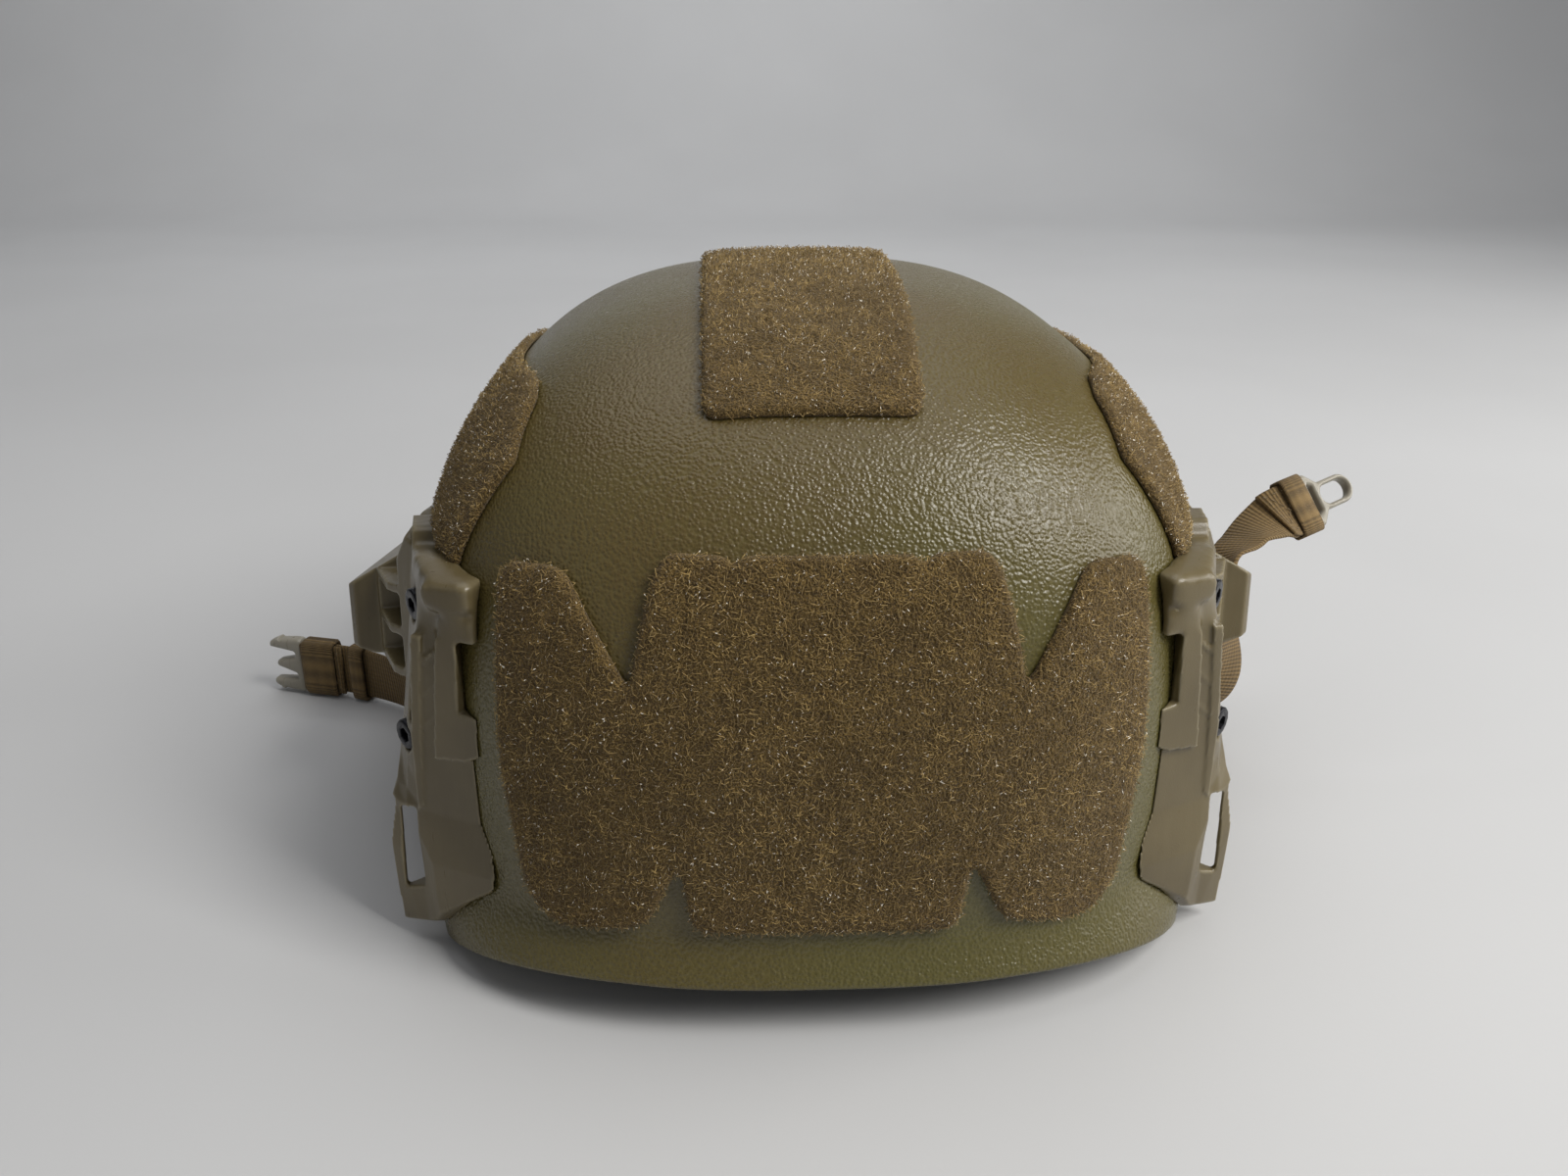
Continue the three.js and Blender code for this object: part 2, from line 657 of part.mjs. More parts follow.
// Open bar at the foot of the block: its slanted window, and the space behind it
function railWindow() {
  const outer = railHalfWidth * 0.943;
  const inner = railHalfWidth * 0.9;
  const foot = railTop * 0.15;
  const top = railTop * 0.39;
  const lean = windowLean;
  const outline = roundedOutline([
    [inner, foot + lean * 2], [outer + lean, foot], [outer, top], [inner, top + lean],
  ], panelCorner / 4);
  const window = prismAlongY(outline, -railFrontReach - overrun, -railFrontReach / 3);
  const near = windowBarDepth - railFrontReach * 0.861;
  const space = rectangle(inner - lean * 2, near, railHalfWidth + overrun, -railFrontReach * 0.35);
  const behind = prismAlongZ(space, -overrun, top + lean);
  return window.add(behind);
}

function trackCuts() {
  const middle = (trackTop + trackFoot) / 2;
  const front = -trackFront + trackSlotDepth;
  const slotFloor = trackReach - trackSlotDepth;
  const [keyHalf, slotHalf] = [trackKeyHeight / 2, trackSlotHeight / 2];
  const key = rectangle(slotFloor, middle - keyHalf, trackReach - trackLip, middle + keyHalf);
  const slot = rectangle(slotFloor, middle - slotHalf, trackReach + overrun, middle + slotHalf);
  const cuts = [key, slot].map((outline) => prismAlongY(outline, front, trackRear + overrun));
  for (let i = 0; i < trackNotchCount; i += 1) {
    const start = front + trackNotchPitch * (i + 0.5);
    const end = start + trackNotchLength;
    const notch = rectangle(start, middle - keyHalf, end, middle + keyHalf);
    cuts.push(prismAlongX(notch, trackReach - trackLip * 2, trackReach + overrun));
  }
  return cuts;
}

// Pockets that leave ribs: in the gusset behind the block, and under the hood
function railPockets() {
  const cuts = [];
  const back = railHalfWidth * 0.99;
  const gusset = polygon([
    [back, -railFrontReach * 0.5], [trackReach - trackSlotDepth, -railFrontReach * 0.5],
    [trackReach - trackSlotDepth - railRib, -trackFront - railRib], [back, -trackFront - railRib],
  ]);
  const ribPitch = (hoodTop * 0.89 - hoodFoot) / 3;
  for (let i = 0; i < 3; i += 1) {
    const foot = hoodFoot + railRib + i * ribPitch;
    cuts.push(prismAlongZ(gusset, foot, foot + ribPitch - railRib));
  }
  for (let i = 0; i < railPocketCount; i += 1) {
    const start = -trackFront + railRib * 2 + i * (railPocketLength + railRib);
    const pocket = rectangle(start, hoodFoot - overrun, start + railPocketLength, railPocketTop);
    cuts.push(prismAlongX(pocket, railPocketInner, railPocketOuter));
  }
  return cuts;
}

function makeRails() {
  const heights = railSideShares.map(([u, v]) => [u * railFrontReach, v * railTop]);
  const outline = roundedOutline(heights, panelCorner / 2);
  const side = prismAlongX(outline, railRoot - seatGap, trackReach + overrun);
  const cross = prismAlongY(railCrossSection(), -railFrontReach, shellRearReach);
  let body = cross.intersect(prismAlongZ(railPlanOutline(), 0, hoodTop + overrun));
  for (const cut of [...trackCuts(), ...railPockets()]) {
    body = body.subtract(cut);
  }
  const footCut = prismAlongY(polygon([
    [railRoot - overrun, -overrun], [railHalfWidth * 0.898, -overrun],
    [railHalfWidth * 0.898, railTop * 0.036], [railHalfWidth * 0.856, railTop * 0.09],
    [railHalfWidth * 0.729, railTop * 0.227],
    [railHalfWidth * 0.7, railTop * 0.282], [railRoot - overrun, railTop * 0.5],
  ]), -railFrontReach - overrun, -railFrontReach * 0.72);
  const rootSide = shellHalfWidth * 0.768;
  const rootNotch = prismAlongX(roundedOutline([
    [-railFrontReach - overrun, rootNotchFoot], [-railFrontReach * 0.85, rootNotchFoot],
    [-railFrontReach * 0.85, rootNotchTop], [-railFrontReach - overrun, rootNotchTop],
  ], panelCorner / 2), railRoot - overrun, rootSide + rootNotchDepth);
  const groove = prismOffFace(railGrooveShares, -faceRoot, faceRoot);
  const innerEnd = prismOffFace(railInnerEndShares, -railFrontReach, railFrontReach);
  const block = railBlock().add(railRelief()).subtract(groove).subtract(innerEnd);
  const slant = prismAlongX(polygon([
    [-railFrontReach * 0.56, hoodTop * 0.93], [-railFrontReach * 0.33, hoodTop * 1.035],
    [-railFrontReach * 0.33, hoodTop + overrun], [-railFrontReach, hoodTop + overrun],
    [-railFrontReach, hoodTop * 0.93],
  ]), railRoot, trackReach + overrun);
  const hood = inclined(body).subtract(slant);
  let rail = block.add(hood).intersect(side).subtract(footCut).subtract(rootNotch);
  rail = rail.subtract(dome(seatGap)).subtract(railWindow());
  const { bores, seats } = railBores();
  for (const cut of [...bores, ...seats]) {
    rail = rail.subtract(cut);
  }
  const left = toGeometry(rail);
  addPiece("rail_left", left, plastic);
  addPiece("rail_right", mirrored(left), plastic);
}

function makeScrews() {
  for (const [place, site] of Object.entries(screwSites)) {
    const shankEnd = -site.depth - nutDepth;
    const profile = [
      [0, shankEnd], [screwShankRadius, shankEnd], [screwShankRadius, -screwHeadHeight],
      [screwHeadRadius, -screwHeadHeight], [screwHeadRadius, -seatGap], [screwHeadRadius * 0.9, 0], [0, 0],
    ].map(([r, h]) => new THREE.Vector2(r, h));
    const body = toSolid(new THREE.LatheGeometry(profile, roundSegments));
    const hex = new THREE.CylinderGeometry(socketRadius, socketRadius, socketDepth * 2, 6);
    const screw = onSite(toGeometry(body.subtract(toSolid(hex))), site);
    addPiece(`screw_${place}_left`, screw, blackSteel);
    addPiece(`screw_${place}_right`, mirrored(screw), blackSteel);
    const blank = cylinderOnSite(nutRadius, shankEnd, 0, site);
    const bore = cylinderOnSite(boreRadius, shankEnd - overrun, overrun, site);
    const nut = toGeometry(blank.subtract(bore).intersect(dome(-shellWall - seatGap)));
    addPiece(`nut_${place}_left`, nut, blackSteel);
    addPiece(`nut_${place}_right`, mirrored(nut), blackSteel);
  }
}

// A cushion on the inside of the dome: a crowned pillow with drawn-in sides and a sewn channel.
// Half width runs round the shell and half height runs towards the crown.
function cushion(centre, halfWidth, halfHeight, thickness, back) {
  const ball = new THREE.SphereGeometry(1, padSegments, padRings).rotateX(Math.PI / 2);
  const place = ball.attributes.position;
  const heading = centre.clone().normalize();
  const round = (Math.abs(heading.z) > 0.9 ? eastAxis.clone() : upAxis.clone().cross(heading)).normalize();
  const crownward = heading.clone().cross(round);
  const reach = domeRadius(heading, back);
  const point = new THREE.Vector3();
  for (let i = 0; i < place.count; i += 1) {
    point.fromBufferAttribute(place, i);
    const bulk = (point.x ** 4 + point.y ** 4 + (Math.hypot(point.x, point.y) ** 2 * point.z ** 2)) ** 0.25;
    const square = Math.hypot(point.x, point.y) > mergeTolerance
      ? Math.hypot(point.x, point.y) / Math.max(bulk, mergeTolerance) : 1;
    const u = point.x * square * halfWidth;
    const v = point.y * square * halfHeight;
    const rise = Math.abs(point.z) ** 0.6 * Math.sign(point.z);
    const channel = 1 - padChannelDepthShare * Math.exp(-((v / padChannelWidth) ** 2));
    const front = padDrawInShare + (1 - padDrawInShare) * rise * channel;
    const depth = rise > 0 ? front : padDrawInShare * (1 + rise);
    const direction = heading.clone().multiplyScalar(reach);
    direction.addScaledVector(round, u).addScaledVector(crownward, v);
    place.setXYZ(i, ...domePoint(direction, back - depth * thickness).toArray());
  }
  return welded(ball);
}

function sideHeading(y) {
  return new THREE.Vector3(shellHalfWidth, y, padRise);
}

// Pads: name, heading from the ring's centre (x, y, z), half width, half height
const pads = [
  ["crown", new THREE.Vector3(0, 0, shellCapRise), padCrownHalf, padCrownHalf],
  ["front", new THREE.Vector3(0, -shellFrontReach, padRise), padFrontHalfWidth, padBandHalfHeight],
  ["rear", new THREE.Vector3(0, shellRearReach, padRise), padRearHalfWidth, padBandHalfHeight],
  ["front_left", sideHeading(-padSideFront), padSideHalfWidth, padSideHalfHeight],
  ["rear_left", sideHeading(padSideRear), padSideHalfWidth, padSideHalfHeight],
];

function makeLiner() {
  const hookBack = -shellWall - seatGap;
  const padBack = hookBack - hookThickness - seatGap * 2;
  for (const [name, centre, halfWidth, halfHeight] of pads) {
    const pad = cushion(centre, halfWidth, halfHeight, padThickness, padBack);
    const reach = shellFrontReach + shellRearReach;
    const rod = new THREE.CylinderGeometry(hookRadius, hookRadius, reach, roundSegments);
    const turn = new THREE.Quaternion().setFromUnitVectors(rearAxis, centre.clone().normalize());
    rod.translate(0, reach / 2 + shellWall, 0).applyQuaternion(turn);
    rod.translate(0, 0, shellRingHeight);
    const disc = toGeometry(domeLayer(hookBack - hookThickness, hookBack, toSolid(rod)));
    addPiece(`pad_${name}`, pad, foam);
    addPiece(`hook_${name}`, disc, hook);
    if (name.endsWith("left")) {
      addPiece(`pad_${name.replace("left", "right")}`, mirrored(pad), foam);
      addPiece(`hook_${name.replace("left", "right")}`, mirrored(disc), hook);
    }
  }
}

function dialCylinder(radius, front, rear, segments) {
  const drum = new THREE.CylinderGeometry(radius, radius, rear - front, segments);
  return drum.translate(0, (front + rear) / 2, dialHeight);
}

function makeNape() {
  const plateRear = domeRear(0, dialHeight, -carrierInset);
  const outline = roundedOutline([
    [-carrierHalfWidth, carrierFoot + carrierThickness], [-carrierHalfWidth / 2, carrierFoot],
    [carrierHalfWidth / 2, carrierFoot], [carrierHalfWidth, carrierFoot + carrierThickness],
    [carrierHalfWidth, carrierTop - carrierThickness],
    [carrierHalfWidth / 2, carrierTop + carrierThickness],
    [-carrierHalfWidth / 2, carrierTop + carrierThickness],
    [-carrierHalfWidth, carrierTop - carrierThickness],
  ], panelCorner);
  const slab = prismAlongY(outline, 0, shellRearReach);
  const carrier = domeLayer(-carrierInset - carrierThickness, -carrierInset, slab);
  addPiece("nape_carrier", toGeometry(carrier), darkPlastic);
  const housingRear = plateRear + seatGap + dialHousingDepth;
  const drum = toSolid(dialCylinder(dialHousingRadius, plateRear - overrun, housingRear, roundSegments * 2));
  const postEnd = housingRear + dialDepth / 2;
  const post = toSolid(dialCylinder(dialPostRadius, plateRear - overrun, postEnd, roundSegments));
  const housing = drum.add(post).subtract(dome(-carrierInset + seatGap));
  addPiece("dial_housing", toGeometry(housing), darkPlastic);
  const lobes = new THREE.Shape();
  const stops = dialLobes * 4;
  for (let i = 0; i < stops; i += 1) {
    const radius = dialRadius - dialLobeDepth * (0.5 - 0.5 * Math.cos((i / 4) * 2 * Math.PI));
    const angle = (i / stops) * 2 * Math.PI;
    const [u, v] = [radius * Math.cos(angle), dialHeight + radius * Math.sin(angle)];
    if (i === 0) {
      lobes.moveTo(u, v);
    } else {
      lobes.lineTo(u, v);
    }
  }
  const knobFront = housingRear + seatGap;
  const knob = prismAlongY(lobes, knobFront, knobFront + dialDepth);
  const wellFront = knobFront - overrun;
  const well = toSolid(dialCylinder(dialPostRadius + seatGap, wellFront, postEnd + seatGap, roundSegments));
  addPiece("dial_knob", toGeometry(knob.subtract(well)), darkPlastic);
  const centre = new THREE.Vector3(0, shellRearReach, (dialHeight - shellRingHeight) * 1.25);
  const back = -carrierInset - carrierThickness - seatGap;
  addPiece("nape_pad", cushion(centre, napePadHalfWidth, napePadHalfHeight, napePadThickness, back), foam);
}

// Side arms from the nape to the temples: a stop is a place on the inner face, [y, z, depth below it]
function makeArms() {
  const side = (y, z, inset) => [domeSide(y, z, -shellWall - inset), y, z, 0, 0, 1];
  const rear = (x, z, inset) => [x, domeRear(x, z, -shellWall - inset), z, 0, 0, 1];
  const hug = armThickness / 2 + seatGap * 2;
  const level = earCutHeight + armWidth / 2 + seatGap * 4;
  const carrierSeat = carrierInset - shellWall - armThickness / 2 - seatGap * 2;
  const stops = [
    side(-earCutFront - armWidth, level, hug), side(-earCutFront / 2, level, hug),
    side(earCutRear * 0.6, level * 0.96, hug), side(earCutRear * 1.36, level * 0.77, hug),
    side(rearScrewY * 0.8, level * 0.55, hug), side(rearScrewY, level * 0.43, hug * 2),
    rear(dialHousingRadius * 3.3, dialHeight * 1.2, hug * 5),
    rear(carrierHalfWidth, dialHeight * 1.15, carrierSeat - seatGap),
    rear(carrierHalfWidth * 0.7, dialHeight, carrierSeat),
  ];
  const arm = ribbon(stops, armWidth, armThickness, armSteps);
  addPiece("nape_arm_left", arm, darkPlastic);
  addPiece("nape_arm_right", mirrored(arm), darkPlastic);
}

// Anchor plates round the lower and rear nuts, which carry the harness legs
function makeAnchors() {
  for (const [place, site] of [["front", screwSites.lower], ["rear", screwSites.rear]]) {
    const eye = site.start.clone().addScaledVector(site.outward, -site.depth);
    const foot = eye.z - anchorHalfHeight - nutRadius;
    const head = eye.z + anchorHalfHeight - nutRadius / 2;
    const outline = roundedOutline([
      [eye.y - anchorHalfWidth, foot], [eye.y + anchorHalfWidth, foot],
      [eye.y + anchorHalfWidth, head], [eye.y - anchorHalfWidth, head],
    ], panelCorner);
    const inner = -shellWall - seatGap - anchorThickness;
    const plate = domeLayer(inner, -shellWall - seatGap, prismAlongX(outline, 0, shellHalfWidth));
    const hole = cylinderOnSite(nutRadius + seatGap, -site.depth - overrun, 0, site);
    const anchor = toGeometry(plate.subtract(hole));
    addPiece(`anchor_${place}_left`, anchor, darkPlastic);
    addPiece(`anchor_${place}_right`, mirrored(anchor), darkPlastic);
  }
}

// Harness legs, from the anchors to the side adjusters. Their seats inside the shell are
// [y, extra depth, spread y, spread z]; the stops below the rim are [x, y, z, spread x, spread y, spread z].
const legRoutes = {
  front: { seats: [[-68, 0, 0.5, 0.87], [-48, 2, 0.5, 0.87]], free: [[104, -26, 24, 0, 0.4, 0.9]] },
  rear: { seats: [[74, 0.3, -0.55, 0.84], [62, 3, -0.6, 0.8]], free: [[99, 44, 24, 0, -0.5, 0.86]] },
};

function makeLegs() {
  const seat = shellWall + anchorThickness + seatGap * 4 + legThickness / 2;
  const sliderFace = sliderX - legThickness;
  const middle = (sliderFoot + sliderTop) / 2;
  const sites = { front: screwSites.lower, rear: screwSites.rear };
  const arrivals = {
    front: [sliderFront, sliderFront + webbingWidth * 0.7],
    rear: [sliderRear, sliderRear * 0.4],
  };
  for (const [place, { seats, free }] of Object.entries(legRoutes)) {
    const start = sites[place].start.z - anchorHalfHeight - nutRadius / 2;
    const stops = seats.map(([y, depth, across, up], i) => {
      const z = start - i * legWidth / 3;
      return [domeSide(y, z, -seat - depth), y, z, 0, across, up];
    });
    const [first, last] = arrivals[place];
    stops.push(...free);
    stops.push([sliderFace, first, middle + seatGap * 3, 0, 0, 1], [sliderFace, last, middle, 0, 0, 1]);
    const leg = ribbon(stops, legWidth, legThickness, legSteps);
    addPiece(`leg_${place}_left`, leg, webbing);
    addPiece(`leg_${place}_right`, mirrored(leg), webbing);
  }
}

// Side adjusters: a slotted plate, two ears, a hinge pin and a cam lever
function makeAdjusters() {
  const outer = sliderX + sliderThickness;
  const plate = prismAlongX(roundedOutline([
    [sliderFront, sliderFoot], [sliderRear, sliderFoot], [sliderRear, sliderTop], [sliderFront, sliderTop],
  ], panelCorner), sliderX, outer);
  const pinX = outer + leverBarrelRadius + seatGap;
  const pinY = sliderFront + sliderWall + leverBarrelRadius;
  const ear = new THREE.Shape();
  ear.moveTo(sliderX + sliderWall, pinY - leverBarrelRadius);
  ear.lineTo(pinX, pinY - leverBarrelRadius);
  ear.absarc(pinX, pinY, leverBarrelRadius, -Math.PI / 2, Math.PI / 2, false);
  ear.lineTo(sliderX + sliderWall, pinY + leverBarrelRadius);
  const ears = prismAlongZ(ear, sliderFoot, sliderFoot + sliderWall)
    .add(prismAlongZ(ear, sliderTop - sliderWall, sliderTop));
  const rod = (radius, from, to) => {
    const cylinder = new THREE.CylinderGeometry(radius, radius, to - from, roundSegments);
    return toSolid(cylinder.rotateX(Math.PI / 2).translate(pinX, pinY, (from + to) / 2));
  };
  let slider = plate.add(ears).subtract(rod(pinRadius + seatGap, sliderFoot - overrun, sliderTop + overrun));
  for (const share of [0.42, 0.72]) {
    const start = sliderFront + (sliderRear - sliderFront) * share;
    const end = start + sliderSlotWidth;
    const slot = rectangle(start, sliderFoot + sliderWall / 2, end, sliderTop - sliderWall / 2);
    slider = slider.subtract(prismAlongX(slot, sliderX - overrun, outer + overrun));
  }
  const leverFoot = sliderFoot + sliderWall + seatGap;
  const leverTop = sliderTop - sliderWall - seatGap;
  const tongue = new THREE.Shape();
  tongue.moveTo(pinX + leverBarrelRadius, pinY);
  tongue.lineTo(pinX + leverBarrelRadius, pinY - leverLength);
  tongue.lineTo(pinX + leverBarrelRadius - leverThickness, pinY - leverLength);
  tongue.lineTo(pinX - leverBarrelRadius * 0.2, pinY);
  const bore = rod(pinRadius + seatGap, leverFoot - overrun, leverTop + overrun);
  const barrel = rod(leverBarrelRadius, leverFoot, leverTop);
  const lever = barrel.add(prismAlongZ(tongue, leverFoot, leverTop)).subtract(bore);
  const pieces = [
    ["adjuster", toGeometry(slider)], ["cam_lever", toGeometry(lever)],
    ["cam_pin", toGeometry(rod(pinRadius, sliderFoot + seatGap, sliderTop - seatGap))],
  ];
  for (const [name, geometry] of pieces) {
    const finish = name === "cam_pin" ? blackSteel : darkPlastic;
    addPiece(`${name}_left`, geometry, finish);
    addPiece(`${name}_right`, mirrored(geometry), finish);
  }
}

// A flat plate drawn in (u, v), set at a place with u along a heading and v along a spread
function placedPlate(outline, thickness, origin, heading, spread) {
  const along = heading.clone().normalize();
  const across = spread.clone().addScaledVector(along, -spread.dot(along)).normalize();
  const face = along.clone().cross(across);
  const plate = new THREE.ExtrudeGeometry(outline, { depth: thickness, bevelEnabled: false, curveSegments });
  plate.translate(0, 0, -thickness / 2);
  return plate.applyMatrix4(new THREE.Matrix4().makeBasis(along, across, face).setPosition(origin));
}

// Routes of the two chin straps, drawn for the left side: places along the webbing and its spread
const sliderExit = sliderX + sliderThickness + seatGap * 2 + webbingThickness / 2;
const strapRightStops = [
  [sliderExit, 13, 12.6, 0, 0, 1], [133, 28, 11.4, 0, -0.1, 1], [147, 43, 11.1, 0, -0.1, 1],
  [166, 54.3, 11.3, 0, 0, 1], [188, 60.2, 11.7, 0, 0, 1],
];
const strapLeftStops = [
  [sliderExit, 13, 13, 0, 0, 1], [130, 12, 12, 0.4, 0, 0.9], [140, 9, 15, 0.8, 0.2, 0.5],
  [146.5, 7, 28, 0.9, 0.4, 0], [148.5, 9, 44, 0.6, 0.8, 0], [148.8, 15, 58, 0.2, 0.98, 0],
  [150.5, 23, 66.5, 0.1, 0.98, 0], [158, 30, 71.5, 0.1, 0.97, 0.02], [167.5, 35.5, 75.5, 0, 0.9, 0.3],
  [176.5, 39.6, 78.3, -0.2, 0.6, 0.77], [184.5, 43.8, 79.7, -0.2, 0.55, 0.8],
];

function strapEnd(stops) {
  const [last, before] = [stops.at(-1), stops.at(-2)].map((stop) => new THREE.Vector3(...stop));
  const heading = last.clone().sub(before).normalize();
  return { place: last, heading, spread: new THREE.Vector3(...stops.at(-1).slice(3)) };
}

// Webbing doubled back round the buckle's bar, as a thicker tab on the strap's end
function strapTab(end, length) {
  const tab = roundedOutline([
    [-length, -webbingWidth / 2], [0, -webbingWidth / 2], [0, webbingWidth / 2], [-length, webbingWidth / 2],
  ], webbingThickness);
  return placedPlate(tab, webbingThickness * 3, end.place, end.heading, end.spread);
}

// Side-release plug: a base bar, a tapered middle guide and two sprung prongs with barbs
function plugOutline() {
  const tip = plugBaseLength + plugProngLength;
  const outer = plugHalfWidth;
  const inner = plugHalfWidth - plugProngWidth;
  const half = [
    [0, outer], [plugBaseLength, outer], [tip - plugProngWidth, outer - plugProngWidth / 5],
    [tip - plugProngWidth, outer], [tip, outer - plugProngWidth / 2], [tip, inner],
    [plugBaseLength, inner - plugProngWidth / 4], [plugBaseLength, plugProngWidth * 0.8],
    [tip - plugProngWidth / 2, plugProngWidth / 4],
  ];
  return roundedOutline([...half, ...half.map(([u, v]) => [u, -v]).reverse()], plugProngWidth / 5);
}

// Socket half: a bar for the webbing, narrowing to a thin round ring
function socketOutline() {
  const ring = socketWindow + socketRim;
  const outline = new THREE.Shape();
  outline.moveTo(0, -socketHalfWidth);
  outline.lineTo(plugProngWidth, -socketHalfWidth);
  outline.lineTo(socketLength - ring * 1.6, -ring * 0.9);
  outline.absarc(socketLength - ring, 0, ring, -Math.PI / 2, Math.PI / 2, false);
  outline.lineTo(socketLength - ring * 1.6, ring * 0.9);
  outline.lineTo(plugProngWidth, socketHalfWidth);
  outline.lineTo(0, socketHalfWidth);
  outline.closePath();
  const window = new THREE.Path();
  window.absellipse(socketLength - ring * 1.1, 0, socketWindow * 1.2, socketWindow, 0, 2 * Math.PI, true);
  outline.holes.push(window);
  return outline;
}

function makeStraps() {
  const ends = { left: strapEnd(strapLeftStops), right: strapEnd(strapRightStops) };
  const tabLength = webbingWidth * 0.6;
  const routes = { left: [strapLeftStops, strapLeftSteps], right: [strapRightStops, strapRightSteps] };
  for (const [side, [stops, steps]] of Object.entries(routes)) {
    const band = toSolid(ribbon(stops, webbingWidth, webbingThickness, steps));
    const strap = band.add(toSolid(strapTab(ends[side], tabLength)));
    const geometry = toGeometry(strap);
    addPiece(`chin_strap_${side}`, side === "left" ? geometry : mirrored(geometry), webbing);
  }
  const buckles = { left: ["buckle_socket", socketOutline()], right: ["buckle_plug", plugOutline()] };
  for (const [side, [name, outline]] of Object.entries(buckles)) {
    const { place, heading, spread } = ends[side];
    const origin = place.clone().addScaledVector(heading, seatGap);
    const buckle = welded(placedPlate(outline, buckleThickness, origin, heading, spread));
    addPiece(name, side === "left" ? buckle : mirrored(buckle), plastic);
  }
}

makeShell();
makePanels();
makeSidePanels();
makeRails();
makeScrews();
makeLiner();
makeNape();
makeArms();
makeAnchors();
makeLegs();
makeAdjusters();
makeStraps();

export default helmet;
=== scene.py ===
import bpy
import bmesh
import json
import math
import numpy as np
from mathutils import Matrix, Vector
from mathutils.geometry import delaunay_2d_cdt


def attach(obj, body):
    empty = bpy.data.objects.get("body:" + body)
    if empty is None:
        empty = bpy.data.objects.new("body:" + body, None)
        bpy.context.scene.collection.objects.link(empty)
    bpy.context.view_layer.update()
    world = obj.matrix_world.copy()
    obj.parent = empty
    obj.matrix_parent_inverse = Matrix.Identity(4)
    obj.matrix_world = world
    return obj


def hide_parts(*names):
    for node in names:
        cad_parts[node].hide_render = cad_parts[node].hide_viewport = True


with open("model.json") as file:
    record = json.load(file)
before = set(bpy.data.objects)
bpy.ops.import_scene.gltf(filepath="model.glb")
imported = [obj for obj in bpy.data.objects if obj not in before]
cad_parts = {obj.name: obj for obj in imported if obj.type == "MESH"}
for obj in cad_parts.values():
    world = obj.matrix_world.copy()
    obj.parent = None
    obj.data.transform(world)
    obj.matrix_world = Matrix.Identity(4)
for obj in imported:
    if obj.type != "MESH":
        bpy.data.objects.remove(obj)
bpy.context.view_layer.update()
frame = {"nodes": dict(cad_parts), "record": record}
scene = bpy.context.scene
scene.view_settings.view_transform = "Standard"

# camera, at the photograph's viewing angle
cameraLook = {
    "place": (-0.0190, -0.361665, 0.22344),
    "right": (0.99935, -0.03595, 0.0),
    "forward": (0.03301, 0.91782, -0.39558),
    "roll": math.radians(0.17),
    "lens": {"lens": 27.61, "sensor_width": 36.0, "clip_start": 0.01},
}


def filled(thing, **values):
    for key, value in values.items():
        setattr(thing, key, value)
    return thing


def newObject(name, data):
    made = bpy.data.objects.new(name, data)
    scene.collection.objects.link(made)
    return made


def makeCamera():
    camera = filled(bpy.data.cameras.new("camera"), **cameraLook["lens"])
    forward = Vector(cameraLook["forward"]).normalized()
    right = Vector(cameraLook["right"]).normalized()
    up = right.cross(forward).normalized()
    turn = Matrix((right, up, -forward)).transposed().to_4x4() @ Matrix.Rotation(cameraLook["roll"], 4, "Z")
    scene.camera = newObject("camera", camera)
    scene.camera.matrix_world = Matrix.Translation(cameraLook["place"]) @ turn


makeCamera()


def addNode(tree, kind, inputs=None, **settings):
    node = filled(tree.nodes.new(kind), **settings)
    for key, value in (inputs or {}).items():
        if isinstance(value, bpy.types.NodeSocket):
            tree.links.new(value, node.inputs[key])
        elif value is not None:
            node.inputs[key].default_value = value
    return node


def result(tree, kind, inputs=None, **settings):
    return addNode(tree, kind, inputs, **settings).outputs[0]


def rgb(colour):
    return (*colour, 1.0)


def mixColour(tree, factor, *colours):
    first, second = [c if isinstance(c, bpy.types.NodeSocket) else rgb(c) for c in colours]
    return addNode(tree, "ShaderNodeMix", {0: factor, 6: first, 7: second}, data_type="RGBA").outputs[2]


def mathNode(tree, operation, *values):
    return result(tree, "ShaderNodeMath", dict(enumerate(values)), operation=operation)


def ramp(tree, source, low, high, toLow=0.0, toHigh=1.0):
    ends = {"From Min": low, "From Max": high, "To Min": toLow, "To Max": toHigh}
    return result(tree, "ShaderNodeMapRange", {"Value": source, **ends})


def noise(tree, place, scale, detail=2.0, rough=0.5):
    return result(tree, "ShaderNodeTexNoise", {"Vector": place, "Scale": scale, "Detail": detail, "Roughness": rough})


def cells(tree, place, scale, extra=None, **settings):
    return result(tree, "ShaderNodeTexVoronoi", {"Vector": place, "Scale": scale, **(extra or {})}, **settings)


def speckle(tree, place, cell):
    snapped = result(tree, "ShaderNodeVectorMath", {0: place, 1: (cell, cell, cell)}, operation="SNAP")
    return result(tree, "ShaderNodeTexWhiteNoise", {"Vector": snapped})


def waves(tree, place, axis, count):
    weave = result(tree, "ShaderNodeUVMap", uv_map="weave")
    way = addNode(tree, "ShaderNodeSeparateXYZ", {0: weave}).outputs[axis]
    return ramp(tree, mathNode(tree, "SINE", mathNode(tree, "MULTIPLY", way, count * 2 * math.pi)), -1.0, 1.0)


def peel(tree, place, scale, softness, warpScale, amount):
    warp = addNode(tree, "ShaderNodeTexNoise", {"Vector": place, "Scale": warpScale}).outputs[1]
    bent = result(tree, "ShaderNodeVectorMath", {0: warp, 1: (amount,) * 3, 2: place}, operation="MULTIPLY_ADD")
    return cells(tree, bent, scale, {"Smoothness": softness}, feature="SMOOTH_F1")


def streaks(tree, place, stretch, *settings):
    return noise(tree, result(tree, "ShaderNodeMapping", {"Vector": place, "Scale": (1.0, 1.0, stretch)}), *settings)


